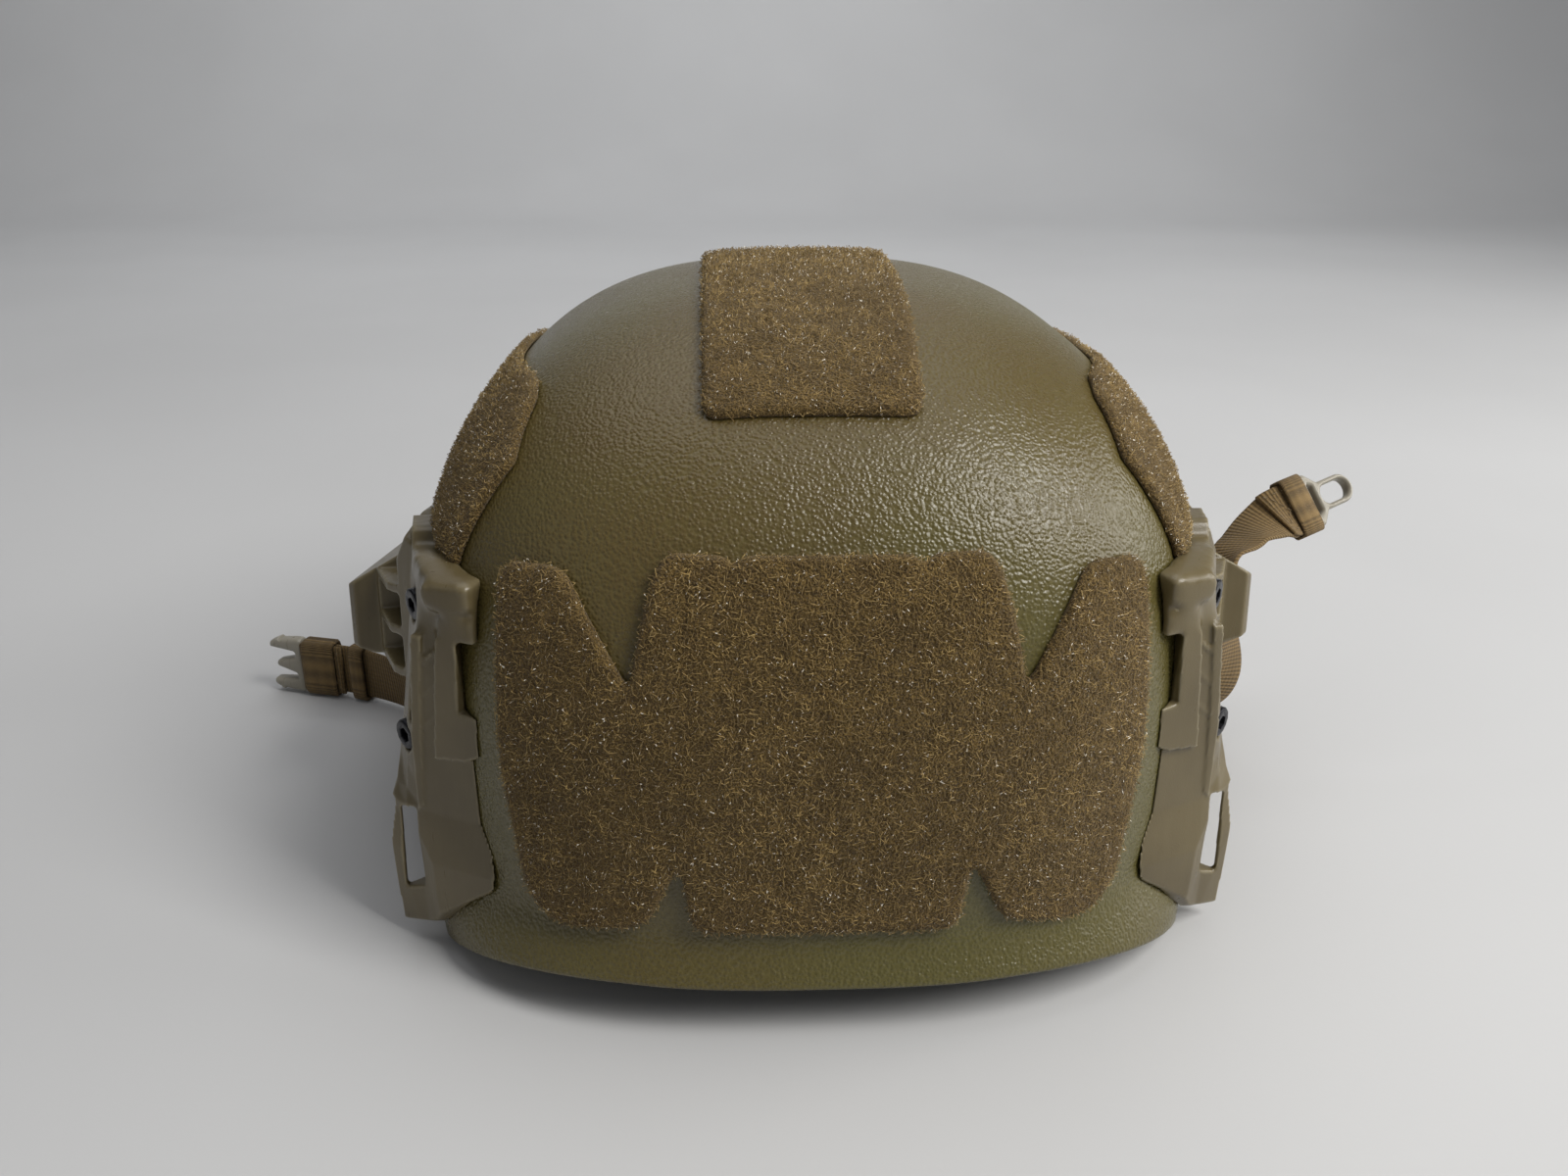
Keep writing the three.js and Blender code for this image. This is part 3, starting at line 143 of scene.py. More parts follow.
# convex edges, by pointiness: the plastics get a lighter colour there, part wear and part a painted highlight along
# the edges
def wornAndHighlitEdges(tree, place):
    return addNode(tree, "ShaderNodeNewGeometry").outputs["Pointiness"]


# a material from its settings. Patterns: a function and its settings, with scales a metre. Coats: a pattern's
# low and high, the colour, and the share laid on at each if not 0 and 1. Roughness: a number, or a pattern's low
# and high and the roughness at each. Bumps: strength, depth and a sum of patterns, known to the coats as "height".
def layered(name, patterns, base, coats, roughness, bumps=(), **extra):
    material = filled(bpy.data.materials.new(name), use_nodes=True)
    tree = material.node_tree
    tree.nodes.clear()
    place = addNode(tree, "ShaderNodeTexCoord").outputs["Object"]
    made = {key: kind(tree, place, *settings) for key, (kind, *settings) in patterns.items()}
    normal = None
    for strength, depth, parts in bumps:
        made["height"] = 0.0
        for key, factor in parts.items():
            made["height"] = mathNode(tree, "MULTIPLY_ADD", made[key], factor, made["height"])
        relief = {"Height": made["height"], "Strength": strength, "Distance": depth, "Normal": normal}
        normal = result(tree, "ShaderNodeBump", relief)
    colour = base
    for key, low, high, over, *shares in coats:
        colour = mixColour(tree, ramp(tree, made[key], low, high, *shares), colour, over)
    if isinstance(roughness, tuple):
        roughness = ramp(tree, made[roughness[0]], *roughness[1:])
    inputs = {"Base Color": colour, "Roughness": roughness, "Normal": normal}
    inputs.update({key.replace("_", " "): value for key, value in extra.items()})
    addNode(tree, "ShaderNodeOutputMaterial", {0: result(tree, "ShaderNodeBsdfPrincipled", inputs)})
    return material


# lamps, world and floor
stageLook = {
    "table": {
        "patterns": {"cloud": (noise, 2.2, 3.0), "grain": (noise, 900.0)},
        "base": (0.52865, 0.52865, 0.5335),
        "coats": [("cloud", 0.35, 0.65, (0.56135, 0.56135, 0.5665))],
        "roughness": 0.55, "bumps": [(0.05, 0.0004, {"grain": 1.0})], "Specular_IOR_Level": 0.25,
    },
    "floorSize": 9.0, "floorDrop": 0.0004, "backdropNear": 1.6, "bend": 0.7, "bendSteps": 14,
    "worldColour": (0.55, 0.56, 0.58), "worldStrength": 0.28,
    "lamps": [
        # name, place, aim, width, height, watts, colour
        ("windowRight", (0.82, -0.60, 1.15), (0.02, -0.02, 0.10), 0.46, 0.85, 18.5, (1.0, 0.985, 0.95)),
        ("sideRight", (1.35, 0.05, 0.55), (0.05, 0.0, 0.08), 0.9, 0.7, 8.0, (1.0, 0.99, 0.96)),
        ("softTop", (-0.15, 0.35, 1.9), (0.0, 0.0, 0.08), 1.8, 1.4, 9.5, (1.0, 1.0, 1.0)),
        ("fillLeft", (-1.3, -0.7, 0.8), (0.0, 0.0, 0.08), 1.2, 1.0, 0.7, (0.94, 0.97, 1.0)),
        ("wallWash", (-0.1, 1.15, 1.5), (-0.1, 2.1, 0.25), 2.2, 0.5, 11.0, (0.97, 0.99, 1.0)),
    ],
}


def makeTable():
    size, drop, far = stageLook["floorSize"], -stageLook["floorDrop"], stageLook["backdropNear"]
    bend, steps = stageLook["bend"], stageLook["bendSteps"]
    profile = [(-size, drop), (far, drop)]
    for i in range(1, steps + 1):
        turn = i / steps * math.pi / 2
        profile.append((far + bend * math.sin(turn), drop + bend * (1 - math.cos(turn))))
    profile.append((far + bend, size / 2))
    mesh = bpy.data.meshes.new("tableTop")
    mesh.from_pydata([(side * size, y, z) for y, z in profile for side in (-1, 1)], [],
                     [(2 * i, 2 * i + 1, 2 * i + 3, 2 * i + 2) for i in range(len(profile) - 1)])
    mesh.shade_smooth()
    mesh.materials.append(layered("paleTable", **stageLook["table"]))
    newObject("tableTop", mesh)


def makeLights():
    world = bpy.data.worlds.new("softRoom")
    world.use_nodes = True
    background = world.node_tree.nodes["Background"]
    background.inputs[0].default_value = rgb(stageLook["worldColour"])
    background.inputs[1].default_value = stageLook["worldStrength"]
    scene.world = world
    for name, place, aim, width, height, watts, colour in stageLook["lamps"]:
        lamp = filled(bpy.data.lights.new(name, "AREA"), shape="RECTANGLE", size=width, size_y=height, energy=watts,
                      color=colour)
        away = (Vector(place) - Vector(aim)).normalized()
        newObject(name, lamp).matrix_world = (
            Matrix.Translation(place) @ away.to_track_quat("Z", "Y").to_matrix().to_4x4())


makeTable()
makeLights()
print("stage: camera, lamps and table are in place")

# finishes
paintLook = {
    "patterns": {"peel": (peel, 1120.0, 0.6, 320.0, 0.0007), "fine": (noise, 900.0, 3.0, 0.6),
                 "broad": (noise, 9.0, 3.0, 0.6), "patches": (noise, 3.1)},
    "base": (0.096, 0.065, 0.020),
    "coats": [("broad", 0.40, 0.62, (0.104, 0.084, 0.024)),
              ("patches", 0.45, 0.7, (0.084, 0.081, 0.024), 0.0, 0.7),
              ("peel", 0.25, 0.75, (0.130, 0.108, 0.038), 0.0, 0.35)],
    "roughness": ("fine", 0.3, 0.7, 0.23, 0.37),
    "bumps": [(0.74, 0.00036, {"peel": -1.0, "fine": 0.38})],
    "Specular_IOR_Level": 0.47,
}
pileLook = {"dark": (0.054, 0.031, 0.007), "fibreDark": (0.135, 0.082, 0.020), "tufts": (noise, 210.0, 3.0, 0.6),
            "sheen": {"Sheen_Weight": 0.15, "Sheen_Tint": (1.0, 0.86, 0.66, 1.0)}}
groundLook = {
    "patterns": {"curls": (cells, 1300.0), "fuzz": (noise, 2400.0, 2.0, 0.7), "tufts": pileLook["tufts"]},
    "base": pileLook["dark"],
    "coats": [("fuzz", 0.40, 0.62, (0.250, 0.158, 0.042)),
              ("tufts", 0.42, 0.62, pileLook["dark"], 0.45, 0.0)],
    "roughness": 0.95,
    "bumps": [(0.9, 0.0008, {"curls": -1.0, "fuzz": 1.0})],
    **pileLook["sheen"],
}
fibreLook = {
    "patterns": {"strand": (speckle, 0.0011), "paintedGlint": (speckle, 0.0005), "broad": (noise, 40.0, 3.0),
                 "tufts": pileLook["tufts"]},
    "base": pileLook["fibreDark"],
    "coats": [("strand", 0.0, 1.0, (0.560, 0.392, 0.142)),
              ("broad", 0.42, 0.65, pileLook["fibreDark"], 0.0, 0.55),
              ("tufts", 0.42, 0.62, pileLook["fibreDark"], 0.40, 0.0),
              # paintedGlint: near-white flecks laid into the fibre colour, a painted highlight standing for sparkles
              # of light on the pile
              ("paintedGlint", 0.960, 0.968, (1.0, 0.95, 0.84))],
    "roughness": 0.5,
    "Specular_IOR_Level": 0.4, **pileLook["sheen"],
}
webLook = {
    "patterns": {"cord": (waves, 0, 11.0), "rib": (waves, 1, 760.0), "fuzz": (noise, 1800.0, 3.0, 0.7),
                 "broad": (noise, 70.0, 3.0)},
    "base": (0.060, 0.038, 0.015),
    # darker where the weave's bump height is low: painted shade in the grooves between the ribs and cords
    "coats": [("height", -0.2, 1.5, (0.205, 0.130, 0.046)),
              ("fuzz", 0.55, 0.75, (0.310, 0.215, 0.095), 0.0, 0.5),
              ("broad", 0.45, 0.7, (0.060, 0.038, 0.015), 0.0, 0.35)],
    "roughness": 0.85,
    "bumps": [(0.7, 0.0004, {"rib": 1.0, "cord": 0.35, "fuzz": 0.5})],
    "Sheen_Weight": 0.05,
}
clothLook = {
    "patterns": {"knit": (cells, 1100.0), "broad": (noise, 45.0, 4.0), "wrinkle": (noise, 110.0, 3.0, 0.6)},
    "base": (0.075, 0.062, 0.042),
    "coats": [("knit", 0.1, 0.7, (0.040, 0.032, 0.021)),
              ("broad", 0.4, 0.7, (0.095, 0.080, 0.056), 0.0, 0.5)],
    "roughness": 0.9,
    "bumps": [(0.35, 0.003, {"wrinkle": 1.0}), (0.6, 0.0006, {"knit": 1.0})],
    "Sheen_Weight": 0.3,
}
hookLook = {
    "patterns": {"dots": (cells, 800.0, {"Randomness": 0.35})},
    "base": (0.085, 0.070, 0.048),
    "coats": [("dots", 0.1, 0.5, (0.030, 0.025, 0.017))],
    "roughness": 0.8,
    "bumps": [(0.9, 0.0008, {"dots": 1.0})],
}
steelLook = {
    "patterns": {"worn": (noise, 500.0, 4.0, 0.65), "fine": (noise, 3000.0)},
    "base": (0.012, 0.012, 0.015),
    "coats": [("worn", 0.58, 0.72, (0.060, 0.058, 0.058))],
    "roughness": ("worn", 0.3, 0.7, 0.24, 0.42),
    "bumps": [(0.1, 0.0002, {"fine": 1.0})],
    "Metallic": 0.85,
}
plasticLook = {
    "patterns": {"streaks": (streaks, 0.09, 420.0, 3.0, 0.6), "broad": (noise, 30.0, 3.0), "grain": (noise, 2600.0),
                 "worn": (wornAndHighlitEdges,)},
    # finish: material's name, tan, shade, edge (on streaks, and on convex edges as wear and a painted highlight),
    # roughness, streaks
    "kinds": {
        "rail": ("railPlastic", (0.128, 0.099, 0.046), (0.100, 0.076, 0.034), (0.270, 0.228, 0.138), 0.32, 0.35),
        "dark": ("darkPlastic", (0.110, 0.092, 0.060), (0.080, 0.064, 0.040), (0.165, 0.145, 0.105), 0.45, 0.4),
        "pale": ("paleBucklePlastic", (0.300, 0.275, 0.220), (0.240, 0.215, 0.165), (0.420, 0.400, 0.340), 0.30, 0.1),
        "thread": ("thread", (0.150, 0.105, 0.050), (0.090, 0.060, 0.026), (0.230, 0.170, 0.095), 0.7, 0.2),
    },
}


def mouldedPlastic(name, tan, shade, edge, rough, streak):
    return layered(name, plasticLook["patterns"], tan, [
        ("broad", 0.4, 0.65, shade), ("streaks", 0.45, 0.62, edge, 0.0, 0.12 * streak),
        # convex edges get the edge colour: wear and a painted highlight
        ("worn", 0.508, 0.555, edge, 0.0, 0.7)], ("streaks", 0.3, 0.7, rough - 0.05, rough + 0.10),
        [(0.16, 0.0003, {"grain": 1.0, "streaks": 0.5 * streak})])


finishes = {
    "paint": layered("texturedPaint", **paintLook),
    "ground": layered("pileGround", **groundLook),
    "fibre": layered("pileFibre", **fibreLook),
    "webbing": layered("wovenWebbing", **webLook),
    "pad": layered("padCloth", **clothLook),
    "hook": layered("hookTape", **hookLook),
    "steel": layered("blackSteel", **steelLook),
    **{finish: mouldedPlastic(*settings) for finish, settings in plasticLook["kinds"].items()},
}
print("finishes:", len(finishes), "materials")


def addPiece(name, mesh, body, finish, slot, *replaced):
    piece = newObject(name, mesh)
    if finish is not None:
        mesh.materials.clear()
        mesh.materials.append(finishes[finish])
    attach(piece, body)
    if replaced:
        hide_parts(*replaced)
    return piece


def bodyOf(node):
    return next(body for body, nodes in frame["record"]["behaviour"]["bodies"].items() if node in nodes)


def modify(piece, kind, **values):
    return filled(piece.modifiers.new(kind.lower(), kind), **values)


def evaluated(holder):
    view = bpy.context.evaluated_depsgraph_get()
    view.update()
    return bpy.data.meshes.new_from_object(holder.evaluated_get(view))


def baked(holder, name):
    mesh = evaluated(holder)
    bpy.data.objects.remove(holder)
    mesh.name = name
    return mesh


def placesOf(mesh):
    places = np.empty(len(mesh.vertices) * 3)
    mesh.vertices.foreach_get("co", places)
    return places.reshape(-1, 3)


def setPlaces(mesh, places):
    mesh.vertices.foreach_set("co", places.ravel())


def editMesh(mesh, *edits):
    work = bmesh.new()
    work.from_mesh(mesh)
    for edit in edits:
        edit(work)
    work.to_mesh(mesh)
    work.free()


def weld(distance):
    return lambda work: bmesh.ops.remove_doubles(work, verts=work.verts, dist=distance)


def turnOutward(work):
    bmesh.ops.recalc_face_normals(work, faces=work.faces)


def shadeEven(mesh, angle=None):
    for name in ("sharp_face", "sharp_edge", "custom_normal"):
        if name in mesh.attributes:
            mesh.attributes.remove(mesh.attributes[name])
    mesh.shade_smooth()
    if angle:
        mesh.set_sharp_from_angle(angle=angle)


def plainMesh(name, points, edges, faces):
    mesh = bpy.data.meshes.new(name)
    mesh.from_pydata([tuple(p) for p in points], edges, faces)
    return mesh


def meshFrom(points, faces, name):
    mesh = plainMesh(name, points, [], faces)
    mesh.validate()
    editMesh(mesh, turnOutward)
    mesh.shade_smooth()
    return mesh


def ringFaces(rings, count, closed=False):
    faces = []
    for r in range(rings if closed else rings - 1):
        here, after = r * count, (r + 1) % rings * count
        faces += [(here + i, here + (i + 1) % count, after + (i + 1) % count, after + i) for i in range(count)]
    return faces


def unit(vectors):
    return vectors / np.linalg.norm(vectors, axis=-1, keepdims=True)


def runLengths(path):
    return np.r_[0, np.cumsum(np.linalg.norm(np.diff(path, axis=0), axis=1))]


def alongPath(places, lengths, values):
    return np.column_stack([np.interp(places, lengths, column) for column in values.T])


def smoothStep(value, low, high):
    t = np.clip((value - low) / (high - low), 0.0, 1.0)
    return t * t * (3 - 2 * t)


def halved(low, high, isLow, halvings):
    for _ in range(halvings):
        middle = (low + high) / 2
        under = isLow(middle)
        low, high = np.where(under, middle, low), np.where(under, high, middle)
    return low, high


# the shell's dome, the same rule as the CAD shell's
dome = {
    "halfWidth": 0.109, "frontReach": 0.1245, "rearReach": 0.1275, "capRise": 0.1065, "skirtDrop": 0.353,
    "ring": 0.0635, "wall": 0.0085, "planPower": 3.0, "sidePower": 2.6,
    "flare": 0.0085, "flareTop": 0.030, "flareFoot": 0.008, "flareSide": 0.030, "temple": 0.088,
}
domeMiddle = np.array([0.0, 0.0, dome["ring"]])


def domePoints(directions, grow):
    d = unit(directions)
    reach = np.where(d[:, 1] < 0, dome["frontReach"], dome["rearReach"]) + grow
    rise = np.where(d[:, 2] > 0, dome["capRise"], dome["skirtDrop"]) + grow
    planPower, sidePower = dome["planPower"], dome["sidePower"]
    plan = np.abs(d[:, 0] / (dome["halfWidth"] + grow)) ** planPower + np.abs(d[:, 1] / reach) ** planPower
    size = (plan ** (sidePower / planPower) + np.abs(d[:, 2] / rise) ** sidePower) ** (-1 / sidePower)
    p = d * size[:, None]
    p[:, 2] += dome["ring"]
    low = 1 - smoothStep(p[:, 2], dome["flareFoot"], dome["flareTop"])
    ahead = smoothStep(-p[:, 1], dome["flareSide"], dome["temple"])
    spread = 1 + dome["flare"] * low * ahead / np.maximum(np.hypot(p[:, 0], p[:, 1]), 1e-6)
    p[:, :2] *= spread[:, None]
    return p


def domeOut(points, grow):
    return domePoints(points - domeMiddle, grow)


def domeNormals(points):
    step, outward = 0.0004, 0.002
    base = domeOut(points, 0.0)
    out = domeOut(points, outward) - base
    shifts = [domeOut(points + axis * step, 0.0) - base for axis in np.eye(3)]
    normals = np.zeros_like(base)
    for a, b in ((0, 1), (1, 2), (2, 0)):
        cross = np.cross(shifts[a], shifts[b])
        bigger = np.linalg.norm(cross, axis=1) > np.linalg.norm(normals, axis=1)
        normals[bigger] = cross[bigger]
    normals[(normals * out).sum(1) < 0] *= -1
    return unit(normals)


def bezier(points, steps):
    t, last = np.linspace(0, 1, steps)[:, None], len(points) - 1
    return sum(math.comb(last, i) * t ** i * (1 - t) ** (last - i) * np.array(p) for i, p in enumerate(points))


# the rim's height along the helmet: brim, side cut and nape, as curves with their steps
rimCurves = [
    ([(-0.2, 0.0155), (-0.2, 0.0155)], 2),
    ([(-0.126625, 0.0155), (-0.1138125, 0.013375), (-0.088, 0)], 24),
    ([(-0.079, 0), (-0.062, 0), (-0.045, 0.055), (-0.028, 0.055)], 40),
    ([(0.033, 0.045), (0.0545, 0.045), (0.185 / 3, 0), (0.076, 0)], 40),
    ([(0.2, 0), (0.2, 0)], 2),
]
rimLine = np.vstack([bezier(*curve) for curve in rimCurves])


def rimHeights(y):
    return np.interp(y, *rimLine.T)


shellLook = {"around": 320, "down": 84, "rimRadius": 0.0016, "rimSteps": 4, "lowTilt": -1.45, "highTilt": 0.6,
             "halvings": 36, "top": 0.001}


def domeMeridians(grow, around, down):
    turns = np.linspace(0, 2 * math.pi, around, endpoint=False)
    flat = np.stack([np.cos(turns), np.sin(turns)], 1)
    ends = [np.full(around, shellLook[end]) for end in ("lowTilt", "highTilt")]
    top = math.pi / 2 - shellLook["top"]

    def ring(tilt):
        return domePoints(np.column_stack([flat * np.cos(tilt)[:, None], np.sin(tilt)]), grow)

    def belowRim(tilt):
        p = ring(tilt)
        return p[:, 2] <= rimHeights(p[:, 1])

    high = halved(*ends, belowRim, shellLook["halvings"])[1]
    return [ring(top - share * (top - high)) for share in np.linspace(0, 1, down)]


def makeShellPiece():
    around, steps, radius = shellLook["around"], shellLook["rimSteps"], shellLook["rimRadius"]
    outer = domeMeridians(0.0, around, shellLook["down"])
    inner = domeMeridians(-dome["wall"], around, shellLook["down"] // 2)
    across = unit(inner[-1] - outer[-1])
    rings = outer[:-1]
    for wall, way in ((outer, 1), (inner, -1)):
        rise = unit(wall[-2] - wall[-1])
        for i in range(steps + 1)[::way]:
            a = i / steps * math.pi / 2
            rings.append(wall[-1] + rise * radius * (1 - math.sin(a)) + across * way * radius * (1 - math.cos(a)))
    rings += inner[:-1][::-1]
    points = np.vstack(rings + [outer[0].mean(0)[None], inner[0].mean(0)[None]])
    top, last = len(rings) * around, (len(rings) - 1) * around
    faces = ringFaces(len(rings), around)
    faces += [(top, (i + 1) % around, i) for i in range(around)]
    faces += [(top + 1, last + i, last + (i + 1) % around) for i in range(around)]
    addPiece("shell_skin", meshFrom(points, faces, "shell_skin"), "shell", "paint", "shell_paint", "shell")


makeShellPiece()
print("shell: dome and rounded rim")

# moulded pieces keep their CAD shape: the plain ones with bevelled edges, rails and adjusters rounded all over
mouldLook = {
    "weld": 0.00001, "flatAngle": math.radians(4), "sharpAngle": math.radians(28), "knobAngle": math.radians(40),
    "shadeAngle": math.radians(34), "segments": 2,
    "rail": {"voxel": 0.00052, "rounds": 3, "keep": 0.45},
    "adjuster": {"voxel": 0.0004, "rounds": 2},
    # the rail's top block is rounded more, over these heights and reaches to the front
    "blockRounds": 50, "blockPull": 0.7, "blockRise": (0.0955, 0.099), "blockAhead": (0.062, 0.070),
}


def easedCopy(node, name, ease, finish, slot, angle=mouldLook["sharpAngle"]):
    mesh = frame["nodes"][node].data.copy()
    editMesh(mesh, weld(mouldLook["weld"]), lambda work: bmesh.ops.dissolve_limit(
        work, angle_limit=mouldLook["flatAngle"], verts=work.verts, edges=work.edges))
    piece = newObject(name, mesh)
    modify(piece, "BEVEL", width=ease, segments=mouldLook["segments"], limit_method="ANGLE", angle_limit=angle,
           use_clamp_overlap=True, harden_normals=False)
    plain = baked(piece, name)
    shadeEven(plain, mouldLook["shadeAngle"])
    return addPiece(name, plain, bodyOf(node), finish, slot, node)


def roundBlock(mesh):
    places = placesOf(mesh)
    count = len(places)
    first, second = np.array([edge.vertices[:] for edge in mesh.edges]).T
    links = np.maximum(np.bincount(first, minlength=count) + np.bincount(second, minlength=count), 1)
    share = smoothStep(places[:, 2], *mouldLook["blockRise"]) * smoothStep(-places[:, 1], *mouldLook["blockAhead"])
    for _ in range(mouldLook["blockRounds"]):
        middle = np.empty_like(places)
        for k in range(3):
            near = np.bincount(first, places[second, k], count) + np.bincount(second, places[first, k], count)
            middle[:, k] = near / links
        places += (middle - places) * share[:, None] * mouldLook["blockPull"]
    setPlaces(mesh, places)


def remeshed(mesh, name, voxel, rounds, keep=1.0):
    piece = newObject(name, mesh)
    modify(piece, "REMESH", mode="VOXEL", voxel_size=voxel)
    modify(piece, "SMOOTH", factor=0.5, iterations=rounds)
    if keep < 1:
        modify(piece, "DECIMATE", ratio=keep)
    plain = baked(piece, name)
    bpy.data.meshes.remove(mesh)
    plain.name = name
    shadeEven(plain)
    return plain


def softCopy(node, name, settings, finish, slot):
    plain = remeshed(frame["nodes"][node].data.copy(), name, **settings)
    roundBlock(plain)
    print("soft copy", name, "faces", len(plain.polygons))
    return addPiece(name, plain, bodyOf(node), finish, slot, node)


def makeMouldings():
    dark = ("dark", "dark_plastic")
    for side in ("left", "right"):
        softCopy(f"rail_{side}", f"rail_{side}_moulding", mouldLook["rail"], "rail", "rail_plastic")
        softCopy(f"adjuster_{side}", f"adjuster_{side}_plate", mouldLook["adjuster"], *dark)
        easedCopy(f"cam_lever_{side}", f"cam_lever_{side}_moulding", 0.0005, *dark)
        easedCopy(f"nape_arm_{side}", f"nape_arm_{side}_band", 0.0004, *dark)
    easedCopy("nape_carrier", "nape_carrier_plate", 0.0006, *dark)
    easedCopy("dial_housing", "dial_housing_drum", 0.0006, *dark)
    easedCopy("dial_knob", "dial_knob_moulding", 0.0005, *dark, mouldLook["knobAngle"])


makeMouldings()
print("mouldings: rails, adjusters, levers and nape parts")

# loop panels: a soft-edged ground cloth and a pile of small loops, set on the dome
panelLook = {
    "gap": 0.0003, "ground": 0.0021, "edge": 0.0016, "edgeShare": 0.35, "grid": 0.0024, "jitter": 0.2,
    "rimStep": 0.0016, "insets": (0.0007, 0.0016), "gridInset": 0.0026, "corner": 0.004,
    "spacing": 0.82, "crowd": 4, "seed": 11,
    "loop": {"Width": 0.00110, "Thickness": 0.00012, "Lay": 0.9, "SizeLow": 0.6, "SizeHigh": 1.8},
    "arc": {"Resolution": 3, "Sweep Angle": math.radians(215), "Start Angle": math.radians(-17)},
    "narrow": (0.5, 0.75, 0.5),
    "front": {"foot": 0.027, "top": 0.1243, "half": 0.078, "loops": 15200},
    "rearLoops": 4600, "topLoops": 8200,
    "side": {"lean": math.radians(35), "crest": 0.088, "ahead": 0.097, "behind": 0.074},
    # the side panels end above the rail: a height, and its fall behind the bend
    "cut": {"lift": 0.1108, "bendAt": -0.044, "fall": 0.0152 / 0.118, "low": 0.02, "high": 0.10},
}
# half outline of the front panel: shares of its half width and height
frontOutline = [
    (0.244, 0.997), (0.27, 0.975), (0.302, 0.997), (0.456, 1), (0.5, 0.961), (0.551, 0.812), (0.577, 0.689),
    (0.769, 0.952), (0.936, 0.938), (0.974, 0.894), (0.99, 0.663), (1, 0.421), (0.949, 0.072), (0.868, 0),
    (0.769, 0), (0.559, 0.041), (0.45, 0.232), (0.415, 0.031),
]
# outline of a side panel: shares of its reach and its crest
sideOutline = [
    (-0.885, 0.23), (-0.872, 0.55), (-0.866, 0.65), (-0.845, 0.79), (-0.68, 0.92), (-0.58, 0.94),
    (-0.31, 0.87), (0.05, 0.8), (0.7, 0.77), (0.95, 0.68), (1, 0.4), (1, 0.23),
]
# rear and crown outlines, in metres
rearOutline = [(-0.042, 0.062), (0.042, 0.062), (0.042, 0.122), (-0.042, 0.122)]
crownOutline = [(-0.02826, -0.090), (0.02326, -0.090), (0.0255, 0.032), (-0.0305, 0.032)]


def roundCorners(points, radius, steps=5):
    rounded = []
    p = [np.array(q, float) for q in points]
    for i, corner in enumerate(p):
        before, after = p[i - 1] - corner, p[(i + 1) % len(p)] - corner
        reach = min(radius, np.linalg.norm(before) * 0.45, np.linalg.norm(after) * 0.45)
        start, end = corner + unit(before) * reach, corner + unit(after) * reach
        rounded.append(bezier([start, corner, end], steps))
    return np.vstack(rounded)


def evenSteps(outline, step):
    closed = np.vstack([outline, outline[:1]])
    lengths = runLengths(closed)
    count = max(int(round(lengths[-1] / step)), 8)
    return alongPath(np.linspace(0, lengths[-1], count, endpoint=False), lengths, closed)


def insideOutline(points, outline):
    inside = np.zeros(len(points), bool)
    for (ax, ay), (bx, by) in zip(outline, np.roll(outline, -1, 0)):
        spans = (ay > points[:, 1]) != (by > points[:, 1])
        if ay != by:
            inside ^= spans & (points[:, 0] < ax + (points[:, 1] - ay) / (by - ay) * (bx - ax))
    return inside


def edgeDistance(points, outline):
    best = np.full(len(points), 9.0)
    for a, b in zip(outline, np.roll(outline, -1, 0)):
        along = b - a
        t = np.clip(((points - a) @ along) / max(along @ along, 1e-12), 0, 1)
        best = np.minimum(best, np.linalg.norm(points - (a + t[:, None] * along), axis=1))
    return best


def castOnDome(starts, way, grow, reach=0.4, halvings=34):
    def inside(t):
        p = starts + way * t[:, None]
        surface = np.linalg.norm(domeOut(p, grow) - domeMiddle, axis=1)
        return np.linalg.norm(p - domeMiddle, axis=1) < surface

    near = halved(np.zeros(len(starts)), np.full(len(starts), reach), inside, halvings)[0]
    return starts + way * near[:, None]


def innerRing(outline, inset):
    along = np.roll(outline, -1, 0) - np.roll(outline, 1, 0)
    side = unit(np.column_stack([-along[:, 1], along[:, 0]]))
    trial = outline + side * inset
    if insideOutline(trial, outline).mean() < 0.5:
        trial = outline - side * inset
    return trial[insideOutline(trial, outline) & (edgeDistance(trial, outline) > inset * 0.85)]


def panelMesh(name, outline, uAxis, vAxis, origin, way):
    outline = evenSteps(outline, panelLook["rimStep"])
    rng = np.random.default_rng(panelLook["seed"])
    pitch = panelLook["grid"]
    rows = [np.arange(low, high, pitch) for low, high in zip(outline.min(0), outline.max(0))]
    grid = np.stack(np.meshgrid(*rows), -1).reshape(-1, 2)
    grid += rng.uniform(-panelLook["jitter"], panelLook["jitter"], grid.shape) * pitch
    grid = grid[insideOutline(grid, outline) & (edgeDistance(grid, outline) > panelLook["gridInset"])]
    flat = np.vstack([outline, *[innerRing(outline, inset) for inset in panelLook["insets"]], grid])
    count = len(outline)
    loop = [(i, (i + 1) % count) for i in range(count)]
    points, _, faces, source, _, _ = delaunay_2d_cdt([Vector(p) for p in flat], loop, [list(range(count))], 1, 1e-7)
    flat = np.array([tuple(p) for p in points])
    edge = [next(i for i, ids in enumerate(source) if k in ids) for k in range(count)]
    starts = np.array(origin, float) + flat[:, :1] * np.array(uAxis) + flat[:, 1:] * np.array(vAxis)
    foot = castOnDome(starts, np.array(way, float), panelLook["gap"])
    gone = np.clip(edgeDistance(flat, outline) / panelLook["edge"], 0, 1)
    least = panelLook["edgeShare"]
    lift = panelLook["ground"] * (least + (1 - least) * np.sqrt(1 - (1 - gone) ** 2))
    top = foot + domeNormals(foot) * lift[:, None]
    total = len(flat)
    shape = [tuple(f) for f in faces] + [tuple(i + total for i in reversed(f)) for f in faces]
    shape += [(a, a + total, b + total, b) for a, b in zip(edge, edge[1:] + edge[:1])]
    return meshFrom(np.vstack([top, foot]), shape, name), top, faces


